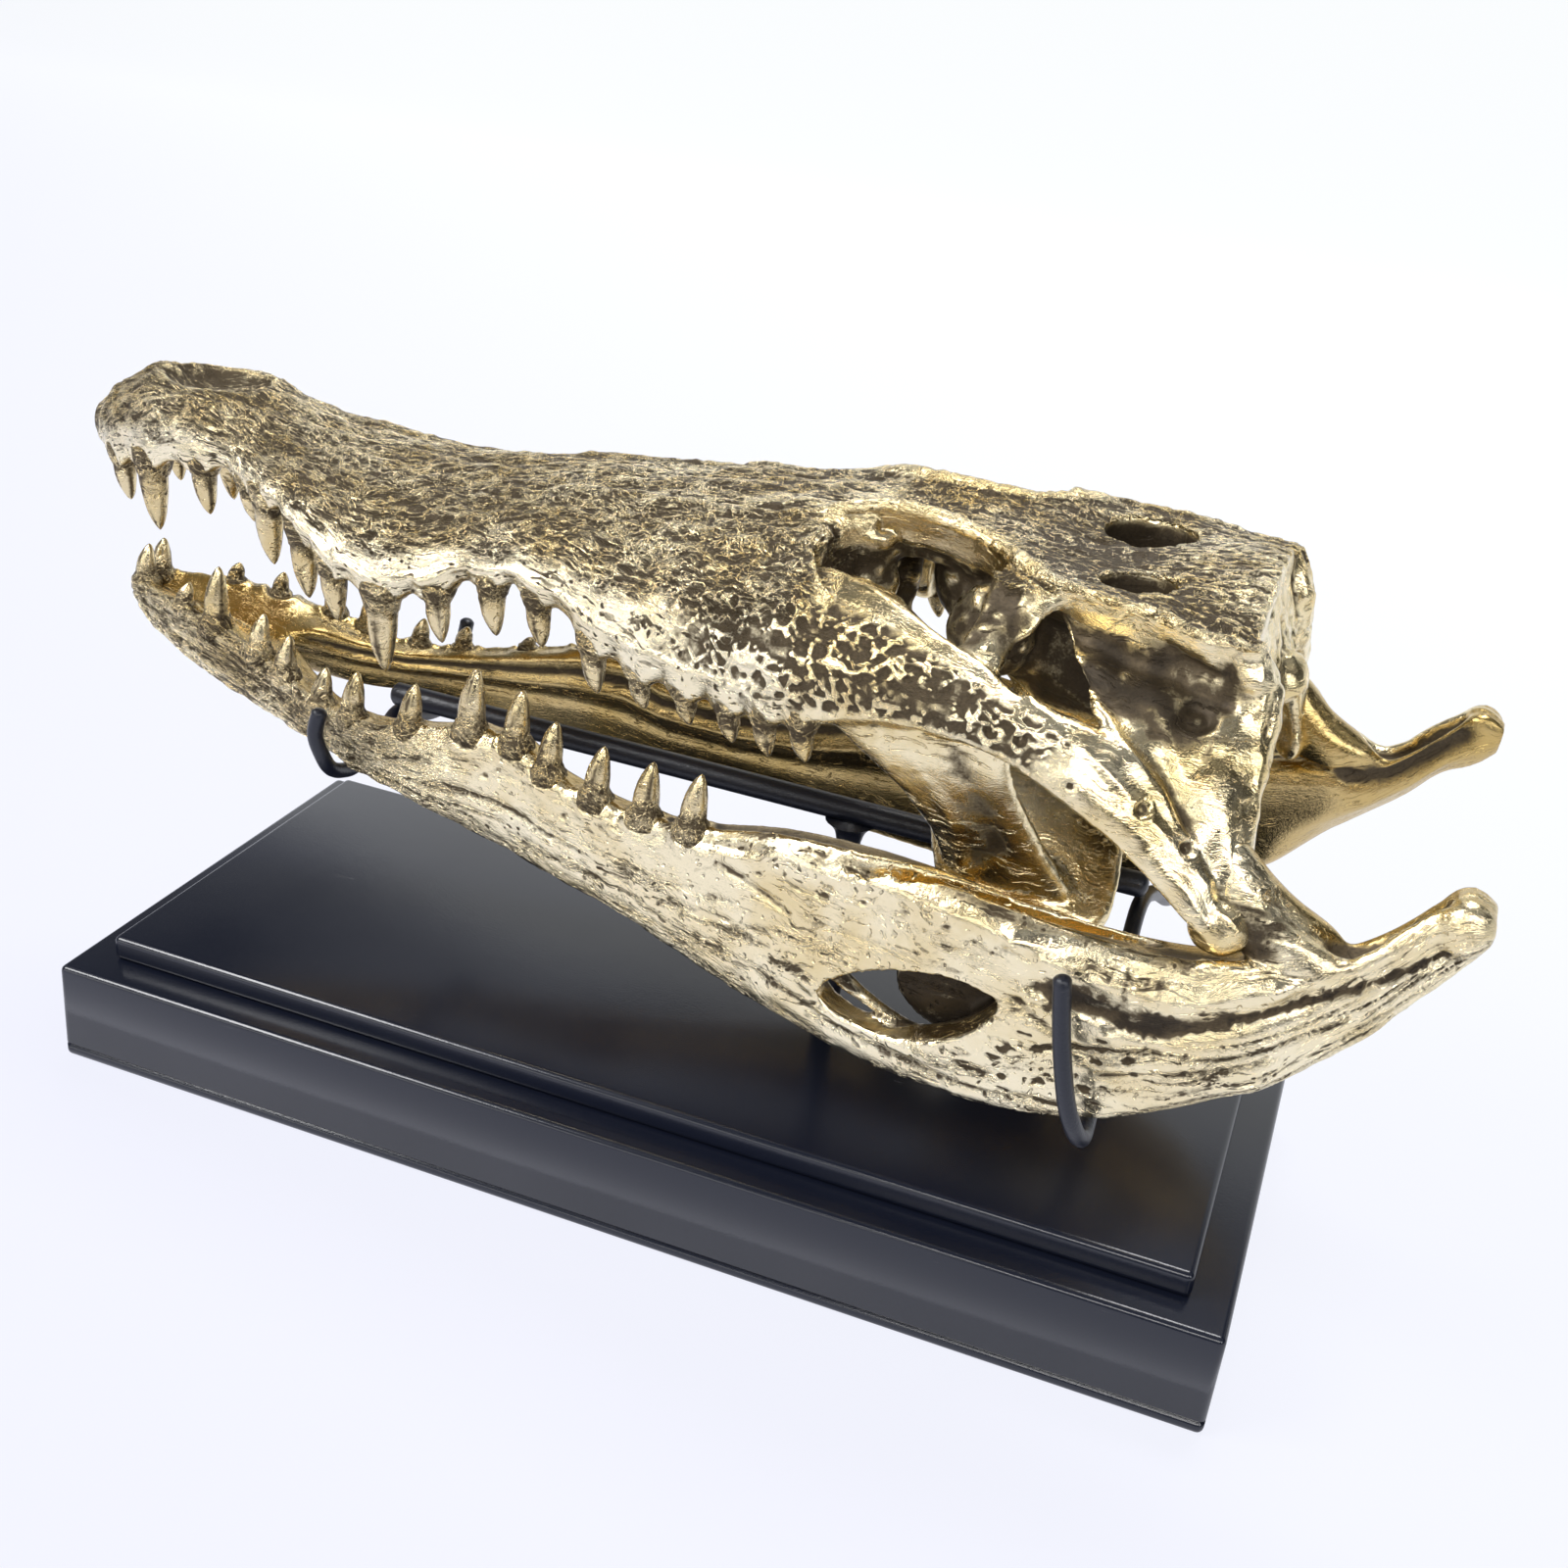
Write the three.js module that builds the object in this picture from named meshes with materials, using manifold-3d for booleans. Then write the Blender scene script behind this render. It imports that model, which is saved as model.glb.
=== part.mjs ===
// Cast brass crocodile skull with its mouth open, lying in a black rod cradle on a two-step plinth.
// Millimetres, +Z up. The snout points to -X, the midline is the plane y = 0, and the origin is the
// middle of the plinth's underside.
import * as THREE from 'three';
import { mergeVertices } from 'three/addons/utils/BufferGeometryUtils.js';
import Module from 'manifold-3d';

const wasm = await Module();
wasm.setup();

// ---------------------------------------------------------------- driving dimensions

const GAP = 0.3; // clearance between touching pieces

const PLINTH = { length: 400, width: 171, height: 36.2, step: 12.7, topHeight: 8.8, edge: 2.2 };
const DECK = PLINTH.height + PLINTH.topHeight; // level of the plinth's upper face

const ROD = { spine: 4, post: 4, hook: 2.6 }; // radii of the steel rods
const SPINE = { front: -120, rear: 143, level: 126 };
const POST = { x: 48, weld: 8 };

// Stations along the upper jaw: x, half-width, level of the midline, level of the gum, palate level.
const SNOUT = [
  [-237, 4, 206, 199, 201],
  [-233, 9.5, 211, 196.5, 201],
  [-226, 14.5, 216, 196, 202],
  [-217, 19, 220, 196, 203],
  [-205, 24, 224, 198, 205],
  [-190, 27, 226.5, 201, 207],
  [-177, 27, 225, 202.5, 208],
  [-167, 28, 221, 202.5, 207],
  [-156, 31.5, 217.5, 200.5, 206],
  [-142, 38.5, 215, 198, 205],
  [-128, 44.5, 213.5, 192.5, 203],
  [-113, 48, 213.5, 184, 200],
  [-98, 49.5, 214.5, 182, 198],
  [-68, 48, 218.5, 192.5, 199],
  [-50, 50.5, 221, 195.5, 200],
  [-34, 53.5, 223, 191, 198],
  [-20, 57, 225, 184, 195],
  [16, 65, 229.5, 180, 190],
  [36, 69.5, 231.5, 181.5, 190],
  [50, 72.5, 232, 184, 191],
];

// Stations along the roof: x, half-width, level at the midline, level at the rim, thickness.
const ROOF = [
  [12, 25, 226, 224, 12],
  [22, 27, 229, 229.5, 14],
  [36, 26, 230.5, 232, 14],
  [50, 20.5, 231, 235, 13],
  [64, 19.5, 231.5, 235, 13],
  [76, 22, 231.5, 234, 13],
  [87, 27, 231, 232.5, 12],
  [96, 37, 229.5, 232, 12],
  [106, 44.5, 228, 231.5, 12],
  [120, 46.5, 228, 230.5, 12],
  [138, 49, 231, 229.5, 12],
  [152, 51, 234, 226.5, 13],
  [159, 50, 235, 224.5, 14],
  [163.5, 44, 235.5, 226, 14],
];

// Stations along a cheek: x, outer half-width, lower edge, half-width and level of the upper edge.
const CHEEK = [
  [40, 70, 182, 44.5, 219],
  [48, 72.5, 184, 46, 220.5],
  [58, 74.5, 187.5, 51, 221.5],
  [70, 77, 191.5, 57.5, 220],
  [83, 79.5, 193.5, 63, 215.5],
  [96, 81, 194, 67, 212],
  [106, 82, 193, 70, 207.5],
  [116, 82.5, 189.5, 72, 206.5],
  [128, 83, 184, 72, 204],
  [142, 83.5, 176.5, 70, 198.5],
  [154, 84, 168, 69, 188],
  [164, 84.5, 160.5, 67, 178],
  [173, 84.5, 154.5, 66, 170],
  [181, 83, 152.5, 66, 163],
];

// Stations down the quadrate plate: level, front edge x and y, rear edge x and y, thickness.
const QUADRATE = [
  [227, 109, 44, 165, 50, 8],
  [219, 113, 46, 169, 47, 8],
  [212, 120, 55, 172, 48, 9],
  [204, 130, 68, 174, 52, 10],
  [196, 137, 74, 175.5, 57, 11],
  [187, 144, 78, 176.5, 63, 12],
  [177, 152, 80, 178, 68, 13],
  [167, 161, 80, 182, 70, 14],
  [158, 168, 79, 186, 70, 15],
  [152.5, 173, 77, 184, 71, 13],
];

// Stations down the braincase and the back of the head: level, front x, rear x, half-width.
const BRAINCASE = [
  [228, 66, 163, 14, 40],
  [218, 66, 166, 16, 46],
  [208, 68, 169, 18, 50],
  [198, 76, 171, 18, 54],
  [188, 92, 170, 18, 52],
  [178, 99, 166, 15, 34],
  [166, 112, 152, 10, 16],
];

// Stations across a pterygoid wing: half-width, front x and level, rear x and level, thickness.
const WING = [
  [-3, 66, 180, 132, 177, 9],
  [14, 68, 178, 133, 172, 8],
  [28, 74, 170, 136, 160, 7],
  [40, 82, 157, 139, 149, 7],
  [48, 88, 145, 139, 141, 9],
  [53, 92, 139, 136, 137, 8],
];

// Stations down the strut from the cheek to the wing: level, front x, rear x, half-width, thickness.
const STRUT = [
  [192, 54, 106, 72, 8],
  [182, 64, 108, 69, 8],
  [170, 76, 112, 62.5, 8],
  [156, 86, 119, 55.5, 8],
  [142, 92, 128, 50.5, 9],
  [136, 97, 124, 49, 8],
];

// Stations along a half of the lower jaw: x, outer half-width, upper edge, lower edge, half-width of
// the lower edge, half-width of the inner face.
const JAW = [
  [-225, 3, 146, 141, 1, -4],
  [-221, 8, 148, 135, 2.5, -3],
  [-213, 13.5, 148, 131, 5, -2],
  [-201, 18, 147.5, 127, 9, -2],
  [-188, 21.5, 146, 123.5, 13, -2],
  [-174, 24.5, 143.5, 120, 16, -1],
  [-159, 27.5, 140, 117.5, 19, 6],
  [-146, 30.5, 135.5, 115.5, 22, 13],
  [-130, 36, 132, 114.5, 28, 21],
  [-110, 42.5, 133, 112, 35, 28.5],
  [-88, 45.5, 137.5, 108, 38, 31.5],
  [-68, 47, 142.5, 105.5, 42, 33],
  [-50, 49, 143, 103, 45, 35],
  [-36, 51.5, 136.5, 101, 48, 37.5],
  [-10, 56.5, 134, 97.5, 53, 42.5],
  [16, 62, 137, 92, 58, 48],
  [44, 68.5, 145.5, 86.5, 64, 53.5],
  [72, 74.5, 149.5, 82.5, 69, 58.5],
  [96, 79, 150, 82, 73, 62],
  [120, 82, 148, 84, 77, 64],
  [146, 84, 147.5, 90.5, 80, 65],
  [166, 84.5, 148.5, 99.5, 80, 64.5],
  [182, 84, 152, 109, 79, 63],
  [192, 82, 155, 115, 78, 62],
  [203, 79, 159, 125.5, 76, 62],
  [214, 76, 169, 136.5, 74, 62],
  [223, 74, 179, 149, 72, 61],
  [230, 72, 182.5, 158, 70, 61],
  [236.5, 70, 179, 168, 69, 62],
];

// The upper row of teeth, front to back: x at the gum and length.
const UPPER_TEETH = [
  [-219, 16], [-202, 24], [-180, 17], [-160, 14], [-150, 23], [-131, 22], [-118, 19], [-99, 26],
  [-80, 17], [-61, 17], [-44, 16], [-23, 16], [-6, 11], [10, 10], [25, 11], [37, 12], [49, 12],
];
// The lower row: x at the gum, length on the left, and length of the more worn teeth on the right.
const LOWER_TEETH = [
  [-220, 13, 13], [-196, 8, 7], [-180, 21, 8], [-160, 14, 14], [-148, 14, 12], [-130, 13, 10],
  [-115, 16, 8], [-91, 15, 4], [-68, 21, 4], [-51, 18, 4], [-38, 17, 5], [-20, 17, 8], [-2, 18, 12],
  [15, 18, 14],
];

// Stations down the post behind the eye: level, x, half-width, radius along and across.
const POSTORBITAL = [
  [229, 101, 40, 9, 7],
  [222, 98, 47, 6, 5],
  [214, 94, 56, 5, 5],
  [206, 93, 66, 7, 5],
  [198, 93, 72, 9, 4],
];

// Stations down the pillar in front of the eye: level, x, half-width, radius along and across.
const PILLAR = [
  [226, 46, 18, 10, 7],
  [212, 47, 15, 10, 7],
  [198, 46, 14, 9, 7],
  [184, 45, 12, 10, 8],
];

// Stations along the bar of the palate: x, half-width, underside, upper side.
const PALATINE = [
  [-30, 18, 189, 200],
  [0, 15, 182, 194],
  [40, 14, 175, 187],
  [60, 14, 171, 181.5],
  [82, 15, 169, 181],
];

const ORBIT = { x: 69, y: 44.5, length: 65, width: 42, turn: 0.38 };
const PALATE_WINDOW = { x: 40, y: 36, length: 76, width: 30, turn: 0.12 };
const PALATE_FLOOR = 196;
const SKY = 260; // above everything
const CELLAR = 150; // below the palate
const NARIS = { x: -190, level: 225, length: 38, width: 24, depth: 13 };
const TEMPLES = [{ x: 127, y: -25, length: 22, width: 20 }, { x: 122, y: 24, length: 28, width: 24 }];
const TEMPLE_FLOOR = 204;
const FORAMEN = { x: 176, level: 217, width: 14, depth: 12 };
const CONDYLE = { x: 169, level: 203, radius: 8 };
const JAW_WINDOW = { x: 91, level: 111, length: 55, height: 20, turn: 0.34 };
const TROUGH = { x: 112, y: 71, level: 152, length: 104, width: 9, depth: 26 };
const SOCKET = { x: 178, level: 165.5, radius: 13 };

// Paths of the hooks' +Y halves, from the tip round under the jaw to the middle.
const FRONT_HOOK = [
  [-120, 48, 137], [-121.5, 48.5, 129], [-120, 47, 121.5], [-119.5, 43, 115.2], [-119.5, 36, 111.3],
  [-119.5, 27, 109.8], [-120, 13, 113], [-120, 0, 119.1],
];
const REAR_HOOK = [
  [136, 93, 141], [139, 93.5, 123], [143, 93.5, 106], [146, 92, 97], [148, 87.5, 90.5],
  [148.5, 80, 87.6], [147, 60, 92.5], [145, 30, 109], [143.5, 0, 119.1],
];

// Where the casting is parted into its named pieces.
const CUT = {
  snout: 60, table: 218.5, tableFront: 80, tableSide: 75, cheek: 37, palate: 182.8,
  strut: 160, strutSide: 44, strutRear: 150, jaw: 30,
};

// ---------------------------------------------------------------- ways of making a solid

// A closed three.js geometry becomes a solid that can be joined and cut.
function solid(geometry) {
  const bare = geometry.clone();
  bare.deleteAttribute('normal');
  bare.deleteAttribute('uv');
  const merged = mergeVertices(bare, 1e-4);
  return new wasm.Manifold(new wasm.Mesh({
    numProp: 3,
    vertProperties: new Float32Array(merged.attributes.position.array),
    triVerts: new Uint32Array(merged.index.array),
  }));
}

// A cylinder whose rings of vertices are moved onto the given rings of [x, y, z].
function loft(rings) {
  const sides = rings[0].length;
  const spans = rings.length - 1;
  const shape = new THREE.CylinderGeometry(1, 1, 1, sides, spans);
  const place = shape.attributes.position;
  const turn = 2 * Math.PI;
  for (let i = 0; i < place.count; i++) {
    const ring = rings[Math.round((place.getY(i) + 0.5) * spans)];
    const reach = Math.hypot(place.getX(i), place.getZ(i));
    const angle = Math.atan2(place.getX(i), place.getZ(i)) + turn;
    const spot = Math.round(angle / turn * sides) % sides;
    const middle = [0, 1, 2].map((k) => ring.reduce((sum, point) => sum + point[k], 0) / sides);
    place.setXYZ(i, ...(reach < 0.5 ? middle : ring[spot]));
  }
  return solid(shape);
}

// A ring across the midline from the points of its +Y half, given from the bottom up.
function mirroredRing(x, half) {
  const far = half.slice(1, -1).reverse();
  return [...half.map(([y, z]) => [x, y, z]), ...far.map(([y, z]) => [x, -y, z])];
}

const mirrored = (piece) => piece.mirror([0, 1, 0]);
const joined = (pieces) => pieces.reduce((whole, piece) => whole.add(piece));

// Straight-line value at x between the stations of a table.
function along(table, column, x) {
  const next = table.findIndex((row) => row[0] >= x);
  const [a, b] = [table[next - 1], table[next]];
  return THREE.MathUtils.mapLinear(x, a[0], b[0], a[column], b[column]);
}

function box(low, high) {
  const size = high.map((value, k) => value - low[k]);
  const shape = new THREE.BoxGeometry(...size);
  shape.translate(...low.map((value, k) => value + size[k] / 2));
  return solid(shape);
}

// An upright elliptical cutter.
function well(x, y, radiusX, radiusY, turnAngle, low, high, sides = 12) {
  const shape = new THREE.CylinderGeometry(1, 1, high - low, sides);
  shape.rotateX(Math.PI / 2);
  shape.scale(radiusX, radiusY, 1);
  shape.rotateZ(turnAngle);
  shape.translate(x, y, (low + high) / 2);
  return solid(shape);
}

function ball(x, y, z, radii, sides = 10) {
  const shape = new THREE.SphereGeometry(1, sides, sides / 2);
  shape.rotateX(Math.PI / 2);
  shape.scale(...radii);
  shape.translate(x, y, z);
  return solid(shape);
}

// A round rod along a smooth path.
function rod(points, radius, steps, sides = 6) {
  const path = new THREE.CatmullRomCurve3(points.map((point) => new THREE.Vector3(...point)));
  const section = new THREE.Shape();
  section.absarc(0, 0, radius, 0, 2 * Math.PI);
  return solid(new THREE.ExtrudeGeometry(section, {
    steps, extrudePath: path, curveSegments: sides / 2,
  }));
}

// A level oval ring, for lofts that run upwards (way 1) or downwards (way -1).
function ovalRing(x, y, z, radiusX, radiusY, way, sides) {
  return Array.from({ length: sides }, (_, k) => {
    const angle = way * k / sides * 2 * Math.PI;
    return [x + radiusX * Math.cos(angle), y + radiusY * Math.sin(angle), z];
  });
}

// One tooth: a four-sided cone, bent a little backwards at its tip. way is 1 up, -1 down.
function tooth(x, y, gum, length, way) {
  const width = 2.3 + 0.12 * length;
  const side = Math.sign(y);
  const rows = [
    [-3, 1.05, 0],
    [length, 0.14, 1.6],
  ];
  return loft(rows.map(([reach, scale, lean]) => ovalRing(
    x + lean, y + side * reach * 0.06, gum + way * reach, 1.15 * width * scale, width * scale, way, 4,
  )));
}

// ---------------------------------------------------------------- the upper skull

const snoutRings = SNOUT.map(([x, w, top, gum, palate]) => {
  const h = top - gum;
  return mirroredRing(x, [
    [0, palate],
    [0.7 * w, palate],
    [0.92 * w, gum],
    [w, gum + 0.24 * h],
    [0.94 * w, gum + 0.5 * h],
    [0.79 * w, gum + 0.74 * h],
    [0.56 * w, gum + 0.89 * h],
    [0.28 * w, gum + 0.975 * h],
    [0, top],
  ]);
});

const roofRings = ROOF.map(([x, w, mid, rim, thick]) => mirroredRing(x, [
  [0, mid - thick],
  [0.7 * w, mid - thick],
  [0.96 * w, rim - 0.6 * thick],
  [w, rim - 2.5],
  [0.95 * w, rim],
  [0.5 * w, 0.7 * mid + 0.3 * rim],
  [0, mid],
]));

const cheekRings = CHEEK.map(([x, w, low, wUp, up]) => {
  const h = up - low;
  return [
    [x, wUp - 7, up - 5],
    [x, w - 11, low + 0.4 * h],
    [x, w - 8, low + 1],
    [x, w - 2, low],
    [x, w, low + 0.25 * h],
    [x, w - 1.5, low + 0.5 * h],
    [x, 0.45 * w + 0.55 * wUp, low + 0.85 * h],
    [x, wUp, up],
  ];
});

const quadrateRings = QUADRATE.map(([z, frontX, frontY, rearX, rearY, thick]) => {
  const middleX = 0.5 * (frontX + rearX);
  const middleY = 0.5 * (frontY + rearY);
  return [
    [frontX, frontY, z],
    [frontX + 4, frontY - thick, z],
    [middleX, middleY - thick, z],
    [rearX - 3, rearY - thick, z],
    [rearX, rearY - 2, z],
    [rearX - 3, rearY + 3, z],
    [middleX + 6, middleY + 1, z],
    [middleX - 6, middleY + 2, z],
  ];
}).reverse();

const braincaseRings = BRAINCASE.map(([z, frontX, rearX, halfWidth, rearHalfWidth]) => [
  [rearX, 0, z],
  [rearX - 1, 0.55 * rearHalfWidth, z],
  [rearX - 3, rearHalfWidth, z],
  [rearX - 11, rearHalfWidth, z],
  [rearX - 14, halfWidth + 3, z],
  [frontX + 26, halfWidth + 2, z],
  [frontX, 0.5 * halfWidth, z],
  [frontX, -0.5 * halfWidth, z],
  [frontX + 26, -halfWidth - 2, z],
  [rearX - 14, -halfWidth - 3, z],
  [rearX - 11, -rearHalfWidth, z],
  [rearX - 3, -rearHalfWidth, z],
  [rearX - 1, -0.55 * rearHalfWidth, z],
]).reverse();

const wingRings = WING.map(([y, frontX, frontZ, rearX, rearZ, thick]) => [
  [frontX, y, frontZ],
  [0.7 * frontX + 0.3 * rearX, y, 0.7 * frontZ + 0.3 * rearZ + 1],
  [0.3 * frontX + 0.7 * rearX, y, 0.3 * frontZ + 0.7 * rearZ + 1],
  [rearX, y, rearZ],
  [rearX - 2, y, rearZ - thick],
  [0.3 * frontX + 0.7 * rearX, y, 0.3 * frontZ + 0.7 * rearZ - thick],
  [0.7 * frontX + 0.3 * rearX, y, 0.7 * frontZ + 0.3 * rearZ - thick],
  [frontX + 2, y, frontZ - thick],
]);

const strutRings = STRUT.map(([z, frontX, rearX, y, thick]) => [
  [frontX, y, z],
  [frontX + 3, y - thick, z],
  [0.5 * (frontX + rearX), y - thick, z],
  [rearX - 3, y - thick, z],
  [rearX, y, z],
  [0.5 * (frontX + rearX), y + 1.5, z],
]).reverse();

const postorbitalRings = POSTORBITAL.map((row) => ovalRing(row[1], row[2], row[0], row[3], row[4], -1, 6));
const pillarRings = PILLAR.map((row) => ovalRing(row[1], row[2], row[0], row[3], row[4], -1, 6));

const palatineRings = PALATINE.map(([x, w, low, up]) => mirroredRing(x, [
  [0, low],
  [0.75 * w, low + 1],
  [w, 0.5 * (low + up)],
  [0.7 * w, up],
  [0, up],
]));

const snout = loft(snoutRings);
const orbits = joined([1, -1].map((side) => well(
  ORBIT.x, side * ORBIT.y, ORBIT.length / 2, ORBIT.width / 2, side * ORBIT.turn, PALATE_FLOOR, SKY,
)));
const palateWindows = joined([1, -1].map((side) => well(
  PALATE_WINDOW.x, side * PALATE_WINDOW.y, PALATE_WINDOW.length / 2, PALATE_WINDOW.width / 2,
  side * PALATE_WINDOW.turn, CELLAR, PALATE_FLOOR + 1,
)));
const naris = ball(NARIS.x, 0, NARIS.level, [NARIS.length / 2, NARIS.width / 2, NARIS.depth], 12);
const templeHoles = joined(TEMPLES.map(({ x, y, length, width }) => well(
  x, y, length / 2, width / 2, 0, TEMPLE_FLOOR, SKY,
)));
const foramen = ball(FORAMEN.x, 0, FORAMEN.level, [FORAMEN.depth, FORAMEN.width / 2, FORAMEN.width / 2]);

function toothRow(teeth, stations, inset, gumColumn, way) {
  return joined(teeth.flatMap(([x, left, right = left]) => [[-1, left], [1, right]].map(
    ([side, length]) => tooth(
      x, side * (along(stations, 1, x) - inset), along(stations, gumColumn, x), length, way,
    ),
  )));
}

const upperTeeth = toothRow(UPPER_TEETH, SNOUT, 4.5, 3, -1);
const face = joined([snout.subtract(orbits).subtract(palateWindows).subtract(naris), upperTeeth]);

const bothSides = (rings) => {
  const piece = loft(rings);
  return [piece, mirrored(piece)];
};

const cranium = joined([
  face,
  joined([loft(roofRings), loft(braincaseRings)]).subtract(templeHoles),
  ball(CONDYLE.x, 0, CONDYLE.level, [CONDYLE.radius, CONDYLE.radius, CONDYLE.radius], 8),
  loft(palatineRings),
  ...bothSides(cheekRings),
  ...bothSides(quadrateRings),
  ...bothSides(postorbitalRings),
  ...bothSides(pillarRings),
  ...bothSides(wingRings),
  ...bothSides(strutRings),
]).subtract(foramen);

// ---------------------------------------------------------------- the lower jaw

const jawRings = JAW.map(([x, w, up, low, wLow, inner]) => {
  const h = up - low;
  const floor = inner < 1 ? 0.62 : 0.93;
  return [
    [x, inner, low + floor * h],
    [x, inner + 0.1 * (w - inner), low + 0.5 * h],
    [x, 0.55 * wLow + 0.45 * inner, low + 0.12 * h],
    [x, wLow - 1, low],
    [x, 0.4 * wLow + 0.6 * w, low + 0.12 * h],
    [x, w, low + 0.42 * h],
    [x, w - 1, low + 0.88 * h],
    [x, w - 6, up],
  ];
});
const jawWindow = well(0, 0, JAW_WINDOW.length / 2, JAW_WINDOW.height / 2, JAW_WINDOW.turn, 0, 140)
  .rotate([90, 0, 0])
  .translate([JAW_WINDOW.x, 140, JAW_WINDOW.level]);
const trough = ball(
  TROUGH.x, TROUGH.y, TROUGH.level, [TROUGH.length / 2, TROUGH.width / 2, TROUGH.depth], 12,
);
const socket = well(0, 0, SOCKET.radius, SOCKET.radius, 0, 40, 110, 16)
  .rotate([90, 0, 0])
  .translate([SOCKET.x, 150, SOCKET.level]);
const jawHalf = loft(jawRings).subtract(jawWindow).subtract(trough).subtract(socket);
const lowerTeeth = toothRow(LOWER_TEETH, JAW, 4.5, 2, 1);
const jaw = joined([jawHalf, mirrored(jawHalf), lowerTeeth]);

// ---------------------------------------------------------------- the plinth and the cradle

function slab(length, width, height, edge, level) {
  const outline = new THREE.Shape();
  const [x, y] = [length / 2 - edge, width / 2 - edge];
  outline.moveTo(-x, -y);
  outline.lineTo(x, -y);
  outline.lineTo(x, y);
  outline.lineTo(-x, y);
  const shape = new THREE.ExtrudeGeometry(outline, {
    depth: height - 2 * edge, bevelEnabled: true, bevelThickness: edge, bevelSize: edge, bevelSegments: 3,
  });
  shape.translate(0, 0, level + edge);
  return solid(shape);
}

const spine = rod([[SPINE.front, 0, SPINE.level], [SPINE.rear, 0, SPINE.level]], ROD.spine, 1, 12);
const postTop = SPINE.level - ROD.spine - GAP;
const postShape = new THREE.LatheGeometry([
  [0, DECK + GAP], [ROD.post, DECK + GAP], [ROD.post, postTop - POST.weld],
  [1.25 * ROD.post, postTop - 0.35 * POST.weld], [1.9 * ROD.post, postTop], [0, postTop],
].map(([r, z]) => new THREE.Vector2(r, z)), 12);
postShape.rotateX(Math.PI / 2);
postShape.translate(POST.x, 0, 0);
const post = solid(postShape);

const hookBothWays = (half, radius) => rod(
  [...half, ...half.slice(0, -1).reverse().map(([x, y, z]) => [x, -y, z])], radius, 20,
);
const frontHooks = hookBothWays(FRONT_HOOK, ROD.hook);
const rearHooks = hookBothWays(REAR_HOOK, ROD.hook);

// ---------------------------------------------------------------- parting and naming

const FAR = 400; // beyond everything
// The largest body of a cut, without the slivers left beside it.
const main = (piece) => piece.decompose().reduce((a, b) => (b.volume() > a.volume() ? b : a));
const behind = CUT.snout + GAP;
const below = CUT.palate - GAP;
const hind = cranium.intersect(box([behind, -FAR, 0], [FAR, FAR, FAR]));
const snoutPiece = main(cranium.intersect(box([-FAR, -FAR, 0], [CUT.snout, FAR, FAR])));
const tableSpace = (spread, level) => joined([
  box([0, -CUT.cheek - spread, level], [CUT.tableFront, CUT.cheek + spread, FAR]),
  box([CUT.tableFront - spread, -CUT.tableSide, level], [FAR, CUT.tableSide, FAR]),
]);
const braincaseSpace = (spread) => box(
  [0, -CUT.cheek - spread, CUT.palate - spread], [FAR, CUT.cheek + spread, CUT.table],
);
const palateSpace = (spread) => joined([
  box([0, -CUT.strutSide - spread, 0], [CUT.strutRear + spread, CUT.strutSide + spread, below]),
  box([0, -FAR, 0], [CUT.strutRear + spread, FAR, CUT.strut - GAP + spread]),
]);
const tablePiece = main(hind.intersect(tableSpace(0, CUT.table + GAP)));
const braincasePiece = main(hind.intersect(braincaseSpace(0)));
const palatePiece = main(hind.intersect(palateSpace(0)));
const cheeks = hind.subtract(tableSpace(GAP, CUT.table)).subtract(braincaseSpace(GAP))
  .subtract(palateSpace(GAP));
const sideOf = (whole, side) => main(whole.intersect(
  box([-FAR, side > 0 ? GAP / 2 : -FAR, 0], [FAR, side > 0 ? FAR : -GAP / 2, FAR]),
));
const jawFront = jaw.intersect(box([-FAR, -FAR, 0], [CUT.jaw, FAR, FAR]));
const jawRear = jaw.intersect(box([CUT.jaw + GAP, -FAR, 0], [FAR, FAR, FAR]));

const brass = { color: 0xb98a45, roughness: 0.28, metalness: 1 };
const blackLacquer = { color: 0x0c0c10, roughness: 0.42, metalness: 0 };
const blackSteel = { color: 0x0a0b0c, roughness: 0.5, metalness: 0.2 };

function node(name, piece, finish) {
  const mesh = piece.getMesh();
  const shape = new THREE.BufferGeometry();
  shape.setAttribute('position', new THREE.BufferAttribute(mesh.vertProperties, 3));
  shape.setIndex(new THREE.BufferAttribute(mesh.triVerts, 1));
  const made = new THREE.Mesh(shape, new THREE.MeshStandardMaterial(finish));
  made.name = name;
  return made;
}

const group = new THREE.Group();
group.add(
  node('snout', snoutPiece, brass),
  node('skull_table', tablePiece, brass),
  node('braincase', braincasePiece, brass),
  node('palate_wings', palatePiece, brass),
  node('cheek_left', sideOf(cheeks, -1), brass),
  node('cheek_right', sideOf(cheeks, 1), brass),
  node('jaw_front_left', sideOf(jawFront, -1), brass),
  node('jaw_front_right', sideOf(jawFront, 1), brass),
  node('jaw_rear_left', sideOf(jawRear, -1), brass),
  node('jaw_rear_right', sideOf(jawRear, 1), brass),
  node('stand_plinth', slab(PLINTH.length, PLINTH.width, PLINTH.height, PLINTH.edge, 0), blackLacquer),
  node('stand_deck', slab(
    PLINTH.length - 2 * PLINTH.step, PLINTH.width - 2 * PLINTH.step, PLINTH.topHeight - GAP,
    PLINTH.edge, PLINTH.height + GAP,
  ), blackLacquer),
  node('stand_post', post, blackSteel),
  node('stand_spine', spine, blackSteel),
  node('stand_front_hooks', frontHooks, blackSteel),
  node('stand_rear_hooks', rearHooks, blackSteel),
);

export default group;
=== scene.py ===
import math

import bmesh
import bpy
import numpy as np
from mathutils import Matrix, Vector


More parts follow.
